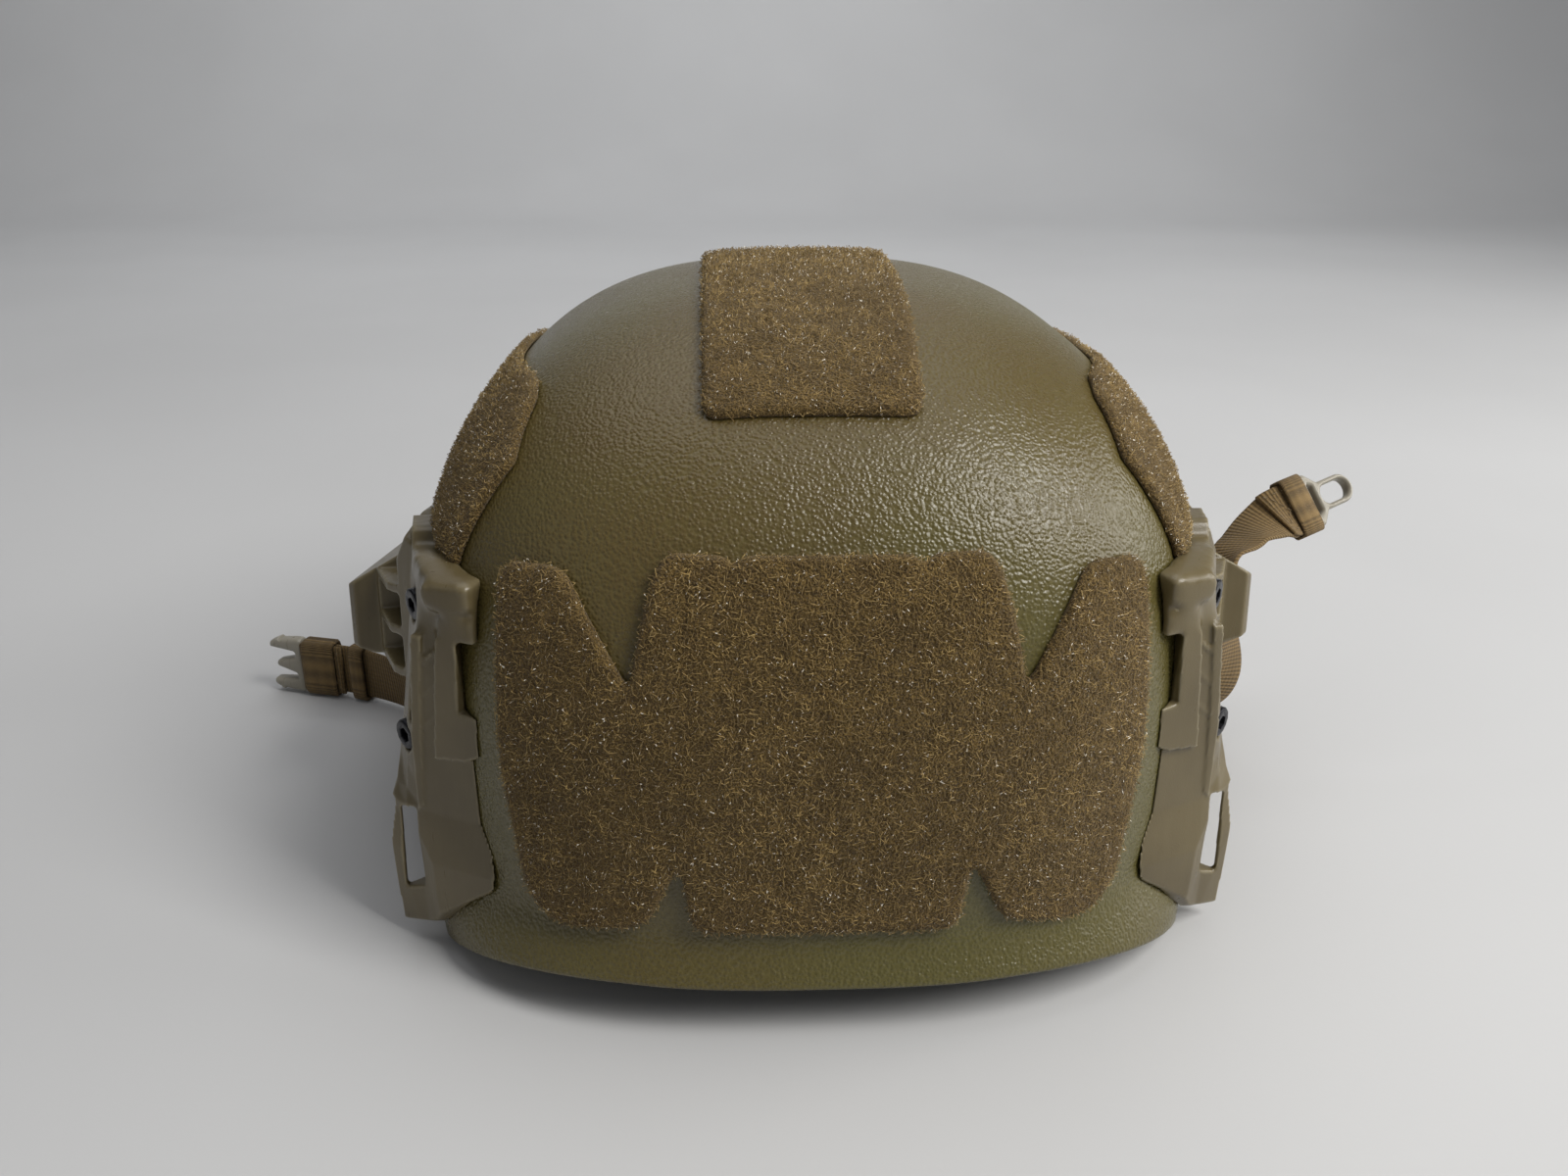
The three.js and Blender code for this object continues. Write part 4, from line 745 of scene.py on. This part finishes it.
def newGrower(name, **inputs):
    tree = bpy.data.node_groups.new(name, "GeometryNodeTree")
    for label, kind in {"Geometry": "Geometry", **inputs}.items():
        tree.interface.new_socket(label, in_out="INPUT", socket_type=f"NodeSocket{kind}")
    tree.interface.new_socket("Geometry", in_out="OUTPUT", socket_type="NodeSocketGeometry")
    return tree, tree.nodes.new("NodeGroupInput").outputs


def closeGrower(tree, material, places, instance, rotation, size):
    instances = result(tree, "GeometryNodeInstanceOnPoints", {
        "Points": places.outputs["Points"], "Instance": instance, "Rotation": rotation, "Scale": size})
    whole = result(tree, "GeometryNodeRealizeInstances", {"Geometry": instances})
    shown = result(tree, "GeometryNodeSetMaterial", {"Geometry": whole, "Material": material})
    addNode(tree, "NodeGroupOutput", {"Geometry": shown})
    return tree


def pileGrower():
    tree, given = newGrower("pileGrower", Density="Float", Spacing="Float", Seed="Int", Width="Float",
                            Thickness="Float", Lay="Float", SizeLow="Float", SizeHigh="Float", Material="Material")
    spread = addNode(tree, "GeometryNodeDistributePointsOnFaces", {
        "Mesh": given["Geometry"], "Distance Min": given["Spacing"], "Density Max": given["Density"],
        "Seed": given["Seed"]}, distribute_method="POISSON")
    arc = result(tree, "GeometryNodeCurveArc", {"Radius": given["Width"], **panelLook["arc"]})
    ring = result(tree, "GeometryNodeCurvePrimitiveCircle", {"Resolution": 3, "Radius": given["Thickness"]})
    strand = result(tree, "GeometryNodeCurveToMesh", {"Curve": arc, "Profile Curve": ring})
    narrow = result(tree, "GeometryNodeTransform", {
        "Geometry": strand, "Rotation": (math.pi / 2, 0, 0), "Scale": panelLook["narrow"]})
    turn = result(tree, "FunctionNodeRandomValue", {
        "Seed": given["Seed"], 0: (-1.0, -1.0, -math.pi), 1: (1.0, 1.0, math.pi)}, data_type="FLOAT_VECTOR")
    split = addNode(tree, "ShaderNodeSeparateXYZ", {0: turn}).outputs
    leaned = [mathNode(tree, "MULTIPLY", split[axis], given["Lay"]) for axis in (0, 1)]
    tilt = result(tree, "ShaderNodeCombineXYZ", {0: leaned[0], 1: leaned[1], 2: split[2]})
    local = result(tree, "FunctionNodeEulerToRotation", {0: tilt})
    joined = result(tree, "FunctionNodeRotateRotation", {
        "Rotation": spread.outputs["Rotation"], "Rotate By": local}, rotation_space="LOCAL")
    size = addNode(tree, "FunctionNodeRandomValue", {
        "Seed": given["Seed"], 2: given["SizeLow"], 3: given["SizeHigh"]}, data_type="FLOAT").outputs[1]
    return closeGrower(tree, given["Material"], spread, narrow, joined, size)


def grownMesh(name, base, tree, **settings):
    holder = newObject(name, base)
    growing = modify(holder, "NODES", node_group=tree)
    sockets = {item.name: item.identifier for item in tree.interface.items_tree if item.in_out == "INPUT"}
    for label, value in settings.items():
        growing[sockets[label]] = value
    return baked(holder, name)


def pileOn(name, top, faces, count, seed):
    area = plainMesh("pileBed", top, [], faces)
    surface = sum(face.area for face in area.polygons)
    if sum(face.normal.dot(Vector(top[face.vertices[0]] - domeMiddle)) for face in area.polygons) < 0:
        area.flip_normals()
    density = count / surface
    mesh = grownMesh(name, area, pile, Density=density * panelLook["crowd"], Seed=seed, Material=finishes["fibre"],
                     Spacing=panelLook["spacing"] / math.sqrt(density), **panelLook["loop"])
    print("pile", name, "area mm2", round(surface * 1e6), "faces", len(mesh.polygons))
    addPiece(name, mesh, "shell", None, "loop_pile")


def makePanel(name, outline, count, seed, way, uAxis=(1, 0, 0), vAxis=(0, 0, 1), origin=(0, 0, 0)):
    outline = roundCorners(outline, panelLook["corner"])
    mesh, top, faces = panelMesh(f"{name}_ground", outline, uAxis, vAxis, origin, way)
    addPiece(f"{name}_ground", mesh, "shell", "ground", "loop_pile", name)
    pileOn(f"{name}_pile", top, faces, count, seed)


def cutAboveRail(outline, way, climb):
    cut = panelLook["cut"]
    line = evenSteps(np.array(outline), 0.002)
    climbs = np.linspace(cut["low"], cut["high"], 60)
    for i, (y, v) in enumerate(line):
        floor = cut["lift"] - max(y - cut["bendAt"], 0) * cut["fall"]
        rays = np.array([0.0, y, 0.0]) + climbs[:, None] * np.array(climb)
        line[i, 1] = max(v, np.interp(floor, castOnDome(rays, np.array(way), 0.0)[:, 2], climbs))
    return line[np.linalg.norm(line - np.roll(line, 1, 0), axis=1) > 0.0008]


def makePanels():
    front, side = panelLook["front"], panelLook["side"]
    right = [(u * front["half"], front["foot"] + v * (front["top"] - front["foot"])) for u, v in frontOutline]
    makePanel("loop_front", right + [(-u, v) for u, v in reversed(right)], front["loops"], 3, (0, -1, 0))
    makePanel("loop_rear", rearOutline, panelLook["rearLoops"], 4, (0, 1, 0))
    makePanel("loop_crown", crownOutline, panelLook["topLoops"], 5, (0, 0, 1), vAxis=(0, 1, 0), origin=domeMiddle)
    across, up = math.cos(side["lean"]), math.sin(side["lean"])
    outline = [(u * side["ahead" if u < 0 else "behind"], v * side["crest"]) for u, v in sideOutline]
    outline = cutAboveRail(outline, (across, 0, up), (-up, 0, across))
    for sign, name in ((1, "left"), (-1, "right")):
        way, vAxis = (sign * across, 0, up), (-sign * up, 0, across)
        makePanel(f"loop_side_{name}", outline, panelLook["topLoops"], 6 + sign, way, (0, 1, 0), vAxis)


pile = pileGrower()
makePanels()
print("loop panels: ground and pile")

# webbing: chin straps with their folded ends, and the harness legs
strapLook = {
    "width": 0.020, "thick": 0.0017, "legWidth": 0.015, "legThick": 0.0015, "step": 0.0011, "edgeSteps": 4,
    "fold": 0.0017, "foldBack": 0.017, "foldSteps": 10, "easeFrom": 0.004, "easeIn": 0.012, "samples": 400,
}
# stops in millimetres: place, then the way the webbing spreads
chinRoutes = {
    "right": [(122.5, 13, 12.6, 0, 0, 1), (133, 28, 11.4, 0, -0.1, 1), (147, 43, 11.1, 0, -0.1, 1),
              (166, 54.3, 11.3, 0, 0, 1), (188, 60.2, 11.7, 0, 0, 1)],
    "left": [(122.5, 13, 13, 0, 0, 1), (130, 12, 12, 0.4, 0, 0.9), (140, 9, 15, 0.8, 0.2, 0.5),
             (146.5, 7, 28, 0.9, 0.4, 0), (148.5, 9, 44, 0.6, 0.8, 0), (148.8, 15, 58, 0.2, 0.98, 0),
             (150.5, 23, 66.5, 0.1, 0.98, 0), (158, 30, 71.5, 0.1, 0.97, 0.02), (167.5, 35.5, 75.5, 0, 0.9, 0.3),
             (176.5, 39.6, 78.3, -0.2, 0.6, 0.77), (184.5, 43.8, 79.7, -0.2, 0.55, 0.8)],
}
legRoutes = {
    "front": [(88.44, -68, 45.75, 0, 0.5, 0.87), (91.56, -48, 40.75, 0, 0.5, 0.87), (104, -26, 24, 0, 0.4, 0.9),
              (113.4, -10, 13.9, 0, 0, 1), (113.4, 4, 13, 0, 0, 1)],
    "rear": [(86.42, 74, 46.75, 0, -0.55, 0.84), (87.63, 62, 41.75, 0, -0.6, 0.8), (99, 44, 24, 0, -0.5, 0.86),
             (113.4, 22, 13.9, 0, 0, 1), (113.4, 8.8, 13, 0, 0, 1)],
}
stitchLook = {"bead": {"Pitch": 0.0029, "Length": 0.0021, "Thickness": 0.00032}, "start": 0.0055, "end": 0.0145,
              "inset": 0.0025, "layers": 1.52, "sink": 0.0001}


def smoothRoute(stops, count):
    p = np.array(stops, float)
    p = np.vstack([2 * p[0] - p[1], p, 2 * p[-1] - p[-2]])
    line = []
    for t in np.linspace(0, len(stops) - 1, count):
        i = min(int(t), len(stops) - 2)
        w, gaps = t - i, np.diff(p[i:i + 4], axis=0)
        pace = np.maximum(np.linalg.norm(gaps, axis=1) ** 0.5, 1e-4)
        leave, land = [(gaps[k] / pace[k] - (gaps[k] + gaps[k + 1]) / (pace[k] + pace[k + 1])
                        + gaps[k + 1] / pace[k + 1]) * pace[1] for k in (0, 1)]
        line.append(p[i + 1] + leave * w + (3 * gaps[1] - 2 * leave - land) * w ** 2
                    + (leave + land - 2 * gaps[1]) * w ** 3)
    return np.array(line)


def ribbonFrames(stops):
    route = np.array(stops, float)
    path = smoothRoute(route[:, :3] * 0.001, strapLook["samples"])
    spread = smoothRoute(route[:, 3:], strapLook["samples"])
    lengths = runLengths(path)
    places = np.linspace(0, lengths[-1], max(int(round(lengths[-1] / strapLook["step"])), 4) + 1)
    path, spread = alongPath(places, lengths, path), alongPath(places, lengths, spread)
    along = unit(np.gradient(path, axis=0))
    spread = unit(spread - (spread * along).sum(1, keepdims=True) * along)
    return path, spread, np.cross(along, spread), along


def layWeave(mesh, count, spot):
    weave = mesh.uv_layers.new(name="weave")
    for loop in mesh.loops:
        weave.data[loop.index].uv = spot(*divmod(loop.vertex_index, count))


def webbingMesh(name, path, spread, face, width, thick):
    edge, half = strapLook["edgeSteps"], thick / 2
    flatHalf = width / 2 - half
    section = []
    for side in (1, -1):
        for i in range(edge + 1):
            a = (-0.5 + i / edge) * math.pi
            section.append((side * (flatHalf + half * math.cos(a)), side * half * math.sin(a)))
        section += [(side * flatHalf * (2 * share - 1), side * half) for share in (0.75, 0.5, 0.25)]
    section = np.array(section)
    rings = [centre + section[:, :1] * s + section[:, 1:] * f for centre, s, f in zip(path, spread, face)]
    count, total = len(section), len(rings)
    ends = [tuple(range(count)), tuple(reversed(range((total - 1) * count, total * count)))]
    mesh = meshFrom(np.vstack(rings), ringFaces(total, count) + ends, name)
    lengths = runLengths(path)
    layWeave(mesh, count, lambda ring, corner: (section[corner, 0] / width + 0.5, lengths[ring]))
    return mesh, round(lengths[-1], 4)


def foldedEnd(path, spread, face, along):
    lengths = runLengths(path)
    fold, back, steps = strapLook["fold"], strapLook["foldBack"], strapLook["foldSteps"]
    near, ease = strapLook["easeFrom"], strapLook["easeIn"]

    def apart(left):
        return fold * (1 - smoothStep(left, near, near + ease))

    rows = list(zip(path - face * apart(lengths[-1] - lengths)[:, None], spread, face))
    for a in math.pi * np.arange(1, steps) / steps:
        around = face[-1] * math.cos(a) - along[-1] * math.sin(a)
        rows.append((path[-1] - fold * around, spread[-1], around))
    count = int(back / strapLook["step"])
    for i in range(count):
        gone = i / count * back
        k, s, f = [alongPath([lengths[-1] - gone], lengths, values)[0] for values in (path, spread, face)]
        rest = apart(gone)
        settle = strapLook["thick"] * 1.02 - rest
        rows.append((k + unit(f) * (rest + (settle - rest) * smoothStep(gone, near, ease)), unit(s), -unit(f)))
    return np.array(rows).swapaxes(0, 1)


def mirrorX(*arrays):
    return [a * np.array([-1.0, 1.0, 1.0]) for a in arrays]


def stitchGrower():
    tree, given = newGrower("stitchGrower", Pitch="Float", Length="Float", Thickness="Float", Material="Material")
    line = result(tree, "GeometryNodeMeshToCurve", {"Mesh": given["Geometry"]})
    places = addNode(tree, "GeometryNodeCurveToPoints", {"Curve": line, "Length": given["Pitch"]}, mode="LENGTH")
    bead = result(tree, "GeometryNodeMeshUVSphere", {"Segments": 6, "Rings": 4, "Radius": 0.5})
    size = result(tree, "ShaderNodeCombineXYZ", {0: given["Thickness"], 1: given["Thickness"], 2: given["Length"]})
    return closeGrower(tree, given["Material"], places, bead, places.outputs["Rotation"], size)


def boxStitch(path, spread, face):
    lengths = runLengths(path)
    half = strapLook["width"] / 2 - stitchLook["inset"]
    lift = strapLook["thick"] * stitchLook["layers"] - stitchLook["sink"]
    places = lengths[-1] - np.linspace(stitchLook["start"], stitchLook["end"], 8)
    at, s, f = [alongPath(places, lengths, values) for values in (path, spread, face)]
    across, cross = [np.linspace(-half, half, count)[:, None] for count in (6, 8)]
    lines = [at + s * way + f * lift for way in (-half, half, cross, -cross)]
    return lines[:2] + [at[k] + s[k] * across + f[k] * lift for k in (0, -1)] + lines[2:]


def sewOn(name, body, lines):
    points, edges = [], []
    for line in lines:
        edges += [(len(points) + i, len(points) + i + 1) for i in range(len(line) - 1)]
        points += list(line)
    bed = plainMesh("stitchLine", points, edges, [])
    mesh = grownMesh(name, bed, stitches, Material=finishes["thread"], **stitchLook["bead"])
    mesh.shade_smooth()
    return addPiece(name, mesh, body, None, "webbing")


def makeChinStraps():
    for side, stops in chinRoutes.items():
        name, body = f"chin_strap_{side}", f"strap_{side}"
        path, spread, face, along = ribbonFrames(stops)
        seam = boxStitch(path, spread, face)
        folded = foldedEnd(path, spread, face, along)
        if side == "right":
            folded, seam = mirrorX(*folded), mirrorX(*seam)
        mesh, length = webbingMesh(f"{name}_webbing", *folded, strapLook["width"], strapLook["thick"])
        piece = addPiece(mesh.name, mesh, body, "webbing", "webbing", name)
        sewn = sewOn(f"{name}_stitches", body, seam)
        print("strap", side, "length", length)


def makeLegs():
    for place, stops in legRoutes.items():
        for side in ("left", "right"):
            name, ribbon = f"leg_{place}_{side}", ribbonFrames(stops)[:3]
            if side == "right":
                ribbon = mirrorX(*ribbon)
            mesh, length = webbingMesh(f"{name}_webbing", *ribbon, strapLook["legWidth"], strapLook["legThick"])
            piece = addPiece(mesh.name, mesh, "shell", "webbing", "webbing", name)


stitches = stitchGrower()
makeChinStraps()
makeLegs()
print("webbing: chin straps and harness legs")

# buckle halves, rounded plates on the straps' ends
buckleLook = {
    "thick": 0.0052, "ease": 0.0015, "steps": 3, "gap": 0.0003, "weld": 1e-6, "soft": {"voxel": 0.0003, "rounds": 2},
    "plug": {"half": 0.0112, "base": 0.0035, "tip": 0.0140, "prong": 0.0044, "corner": 0.0017},
    "socket": {"length": 0.0225, "wide": 0.010, "window": 0.0036, "wall": 0.0019, "base": 0.0028, "shoulder": 0.0073,
               "stretch": 0.0034, "slim": 0.85, "easeShare": 0.9, "slotCorner": 0.0008},
    # the socket's slot: along in metres, across in shares of its width
    "slot": [(0.0018, -0.62), (0.0044, -0.50), (0.0044, 0.50), (0.0018, 0.62)],
}
# woven bands round the straps: the profile's shifts and growths, and each band's distance back, reach and height
bandLook = {"half": 0.0102, "power": 0.35, "around": 48, "weaveLength": 0.05,
            "profile": [(-1, 0.0), (-1.03, 0.0005), (-0.9, 0.0010), (0.9, 0.0010), (1.03, 0.0005), (1, 0.0)],
            "bands": [("right", "keeper", 0.0235, 0.0030, 0.0026), ("right", "wrap", 0.0072, 0.0064, 0.0030),
                      ("left", "wrap", 0.0050, 0.0050, 0.0026)]}


def plateMesh(name, outlines, thick, ease):
    drawn = filled(bpy.data.curves.new(name, "CURVE"), dimensions="2D", fill_mode="BOTH", extrude=thick / 2 - ease,
                   bevel_depth=ease, bevel_resolution=buckleLook["steps"], offset=-ease)
    for outline in outlines:
        spline = drawn.splines.new("POLY")
        spline.points.add(len(outline) - 1)
        zero = np.zeros(len(outline))
        spline.points.foreach_set("co", np.column_stack([outline, zero, zero + 1]).ravel())
        spline.use_cyclic_u = True
    mesh = baked(newObject(name, drawn), name)
    editMesh(mesh, weld(buckleLook["weld"]), turnOutward)
    return remeshed(mesh, name, **buckleLook["soft"])


def setOnStrap(mesh, side):
    stops = np.array(chinRoutes[side], float)
    heading = unit(stops[-1, :3] - stops[-2, :3])
    spread = unit(stops[-1, 3:] - stops[-1, 3:] @ heading * heading)
    points = placesOf(mesh) @ np.array([heading, spread, np.cross(heading, spread)])
    points += stops[-1, :3] * 0.001 + heading * buckleLook["gap"]
    if side == "right":
        points[:, 0] *= -1
        mesh.flip_normals()
    setPlaces(mesh, points)


def plugOutline():
    half, base, tip, prong, corner = buckleLook["plug"].values()
    inner = tip - prong
    upper = [(0, half), (base, half), (inner, half - prong / 5), (inner, half), (tip, half - prong / 2),
             (tip, half - prong), (base, half - prong * 1.25), (base, prong * 0.8), (tip - prong / 2, prong / 4)]
    return roundCorners(upper + [(u, -v) for u, v in reversed(upper)], corner, 6)


def socketOutlines():
    look = buckleLook["socket"]
    wide, window, stretch = look["wide"], look["window"], look["stretch"]
    ring = window + look["wall"]
    centre = look["length"] - ring
    turns = np.linspace(-math.pi / 2, math.pi / 2, 25)
    lower = [(0, -wide), (look["base"], -wide), (look["shoulder"], -ring)]
    bow = [(centre + ring * math.cos(a), ring * math.sin(a)) for a in turns]
    around = np.linspace(0, 2 * math.pi, 40, endpoint=False)
    eye = np.column_stack([centre - stretch + window * np.cos(around) + stretch * np.sign(np.cos(around)),
                           window * np.sin(around)])
    slot = roundCorners([(u, share * wide) for u, share in buckleLook["slot"]], look["slotCorner"])
    return [np.array(lower + bow + [(u, -v) for u, v in reversed(lower)]), eye, slot]


def makeBuckles():
    thick, ease = buckleLook["thick"], buckleLook["ease"]
    slim, easeShare = buckleLook["socket"]["slim"], buckleLook["socket"]["easeShare"]
    for side, half, outlines, plate in (("right", "plug", [plugOutline()], (thick, ease)),
                                        ("left", "socket", socketOutlines(), (thick * slim, ease * easeShare))):
        mesh = plateMesh(f"buckle_{half}_moulding", outlines, *plate)
        setOnStrap(mesh, side)
        addPiece(mesh.name, mesh, f"strap_{side}", "pale", "buckle_plastic", f"buckle_{half}")


def woundBand(side, name, back, reach, high):
    path, spread, face, along = ribbonFrames(chinRoutes[side])
    at = -1 - int(back / strapLook["step"])
    count, power, profile = bandLook["around"], bandLook["power"], bandLook["profile"]
    turns = np.linspace(0, 2 * math.pi, count, endpoint=False)
    wide, tall = [(np.sign(v) * np.abs(v) ** power)[:, None] for v in (np.cos(turns), np.sin(turns))]
    points = np.vstack([path[at] + along[at] * shift * reach + wide * (bandLook["half"] + grow) * spread[at]
                        + tall * (high + grow) * face[at] for shift, grow in profile])
    if side == "right":
        points = mirrorX(points)[0]
    mesh = meshFrom(points, ringFaces(len(profile), count, closed=True), f"chin_strap_{side}_{name}")
    layWeave(mesh, count, lambda ring, corner: (ring / 5, corner / count * bandLook["weaveLength"]))
    addPiece(mesh.name, mesh, f"strap_{side}", "webbing", "webbing")


makeBuckles()
for band in bandLook["bands"]:
    woundBand(*band)
print("buckles: plug, socket and keeper")

# padded liner, blown up a little and held near its CAD form
padLook = {
    "shrink": 0.93, "voxel": 0.0045, "frames": 18, "reach": 0.004, "fill": 0.75, "levels": 2,
    "cloth": {"use_pressure": True, "uniform_pressure_force": 4.0, "quality": 5, "mass": 0.2,
              "tension_stiffness": 12.0, "compression_stiffness": 12.0, "bending_stiffness": 2.0},
    # the sewn channel across the face and the seam round the edge
    "channel": 0.0016, "channelWidth": 0.0030, "seam": 0.0012, "seamRise": 0.004, "seamWidth": 0.0011,
    "facing": (-0.002, 0.004),
}
padNodes = ["pad_crown", "pad_front", "pad_rear", "pad_front_left", "pad_front_right", "pad_rear_left",
            "pad_rear_right", "nape_pad"]


def padForm(name):
    mesh = frame["nodes"][name].data.copy()
    places = placesOf(mesh)
    middle = (places.min(0) + places.max(0)) / 2
    setPlaces(mesh, middle + (places - middle) * padLook["shrink"])
    holder = newObject(f"{name}_form", mesh)
    modify(holder, "REMESH", mode="VOXEL", voxel_size=padLook["voxel"])
    even = evaluated(holder)
    holder.modifiers.clear()
    holder.data = even
    return name, holder, middle


def plumped(holder):
    cloth = modify(holder, "CLOTH")
    filled(cloth.settings, **padLook["cloth"]).effector_weights.gravity = 0.0
    filled(cloth.point_cache, frame_start=1, frame_end=padLook["frames"])
    for step in range(1, padLook["frames"] + 1):
        scene.frame_set(step)
    blown = bpy.data.meshes.new_from_object(holder.evaluated_get(bpy.context.evaluated_depsgraph_get()))
    holder.modifiers.clear()
    return blown


def sewChannel(mesh, middle):
    places = placesOf(mesh)
    heading = unit(middle - domeMiddle)
    overhead = abs(heading[2]) > 0.9
    around = np.array([1.0, 0.0, 0.0]) if overhead else unit(np.cross([0.0, 0.0, 1.0], heading))
    local = places - middle
    crownward = local @ np.cross(heading, around)
    inward = -(local @ heading)
    crownward -= np.median(crownward[inward > 0])
    dent = padLook["channel"] * np.exp(-(crownward / padLook["channelWidth"]) ** 2)
    dent *= smoothStep(inward, *padLook["facing"])
    rimLevel = np.percentile(inward, 8) + padLook["seamRise"]
    seam = padLook["seam"] * np.exp(-((inward - rimLevel) / padLook["seamWidth"]) ** 2)
    flat = local - np.outer(local @ heading, heading)
    flat /= np.maximum(np.linalg.norm(flat, axis=1, keepdims=True), 1e-6)
    setPlaces(mesh, places + heading * dent[:, None] - flat * seam[:, None])


def makePads():
    forms = [padForm(name) for name in padNodes]
    for name, holder, middle in forms:
        start = placesOf(holder.data)
        mesh = plumped(holder)
        moved = placesOf(mesh) - start
        far = np.linalg.norm(moved, axis=1, keepdims=True)
        setPlaces(mesh, start + moved * np.minimum(1, padLook["reach"] / np.maximum(far, 1e-9)))
        holder.data = mesh
        modify(holder, "SUBSURF", levels=padLook["levels"], render_levels=padLook["levels"])
        final = baked(holder, f"{name}_cushion")
        sewChannel(final, middle)
        final.shade_smooth()
        addPiece(final.name, final, bodyOf(name), "pad", "pad_cloth", name)
        print("pad", name, "faces", len(final.polygons))
    scene.frame_set(1)


makePads()
print("pads: seven liner pads and the nape pad")

# small fittings with eased edges; the hook discs keep their own mesh
fittingLook = {
    "ease": 0.00025,
    # the front screws stand proud of their recess: how far, and how far round from the side
    "proud": 0.003, "proudAngle": math.radians(37),
    "kinds": {"nut_": ("steel", "black_steel"), "screw_": ("steel", "black_steel"),
              "anchor_": ("dark", "dark_plastic"), "cam_pin": ("steel", "black_steel")},
}


def makeFittings():
    angle = fittingLook["proudAngle"]
    for name, node in list(frame["nodes"].items()):
        for start, (finish, slot) in fittingLook["kinds"].items():
            if name.startswith(start):
                piece = easedCopy(name, f"{name}_eased", fittingLook["ease"], finish, slot)
                if name.startswith("screw_front"):
                    way = np.array([math.cos(angle) * (1 if name.endswith("left") else -1), -math.sin(angle), 0.0])
                    setPlaces(piece.data, placesOf(piece.data) + fittingLook["proud"] * way)
        if name.startswith("hook_"):
            node.data.materials.clear()
            node.data.materials.append(finishes["hook"])


makeFittings()
print("fittings: screws, nuts, anchors and pins")
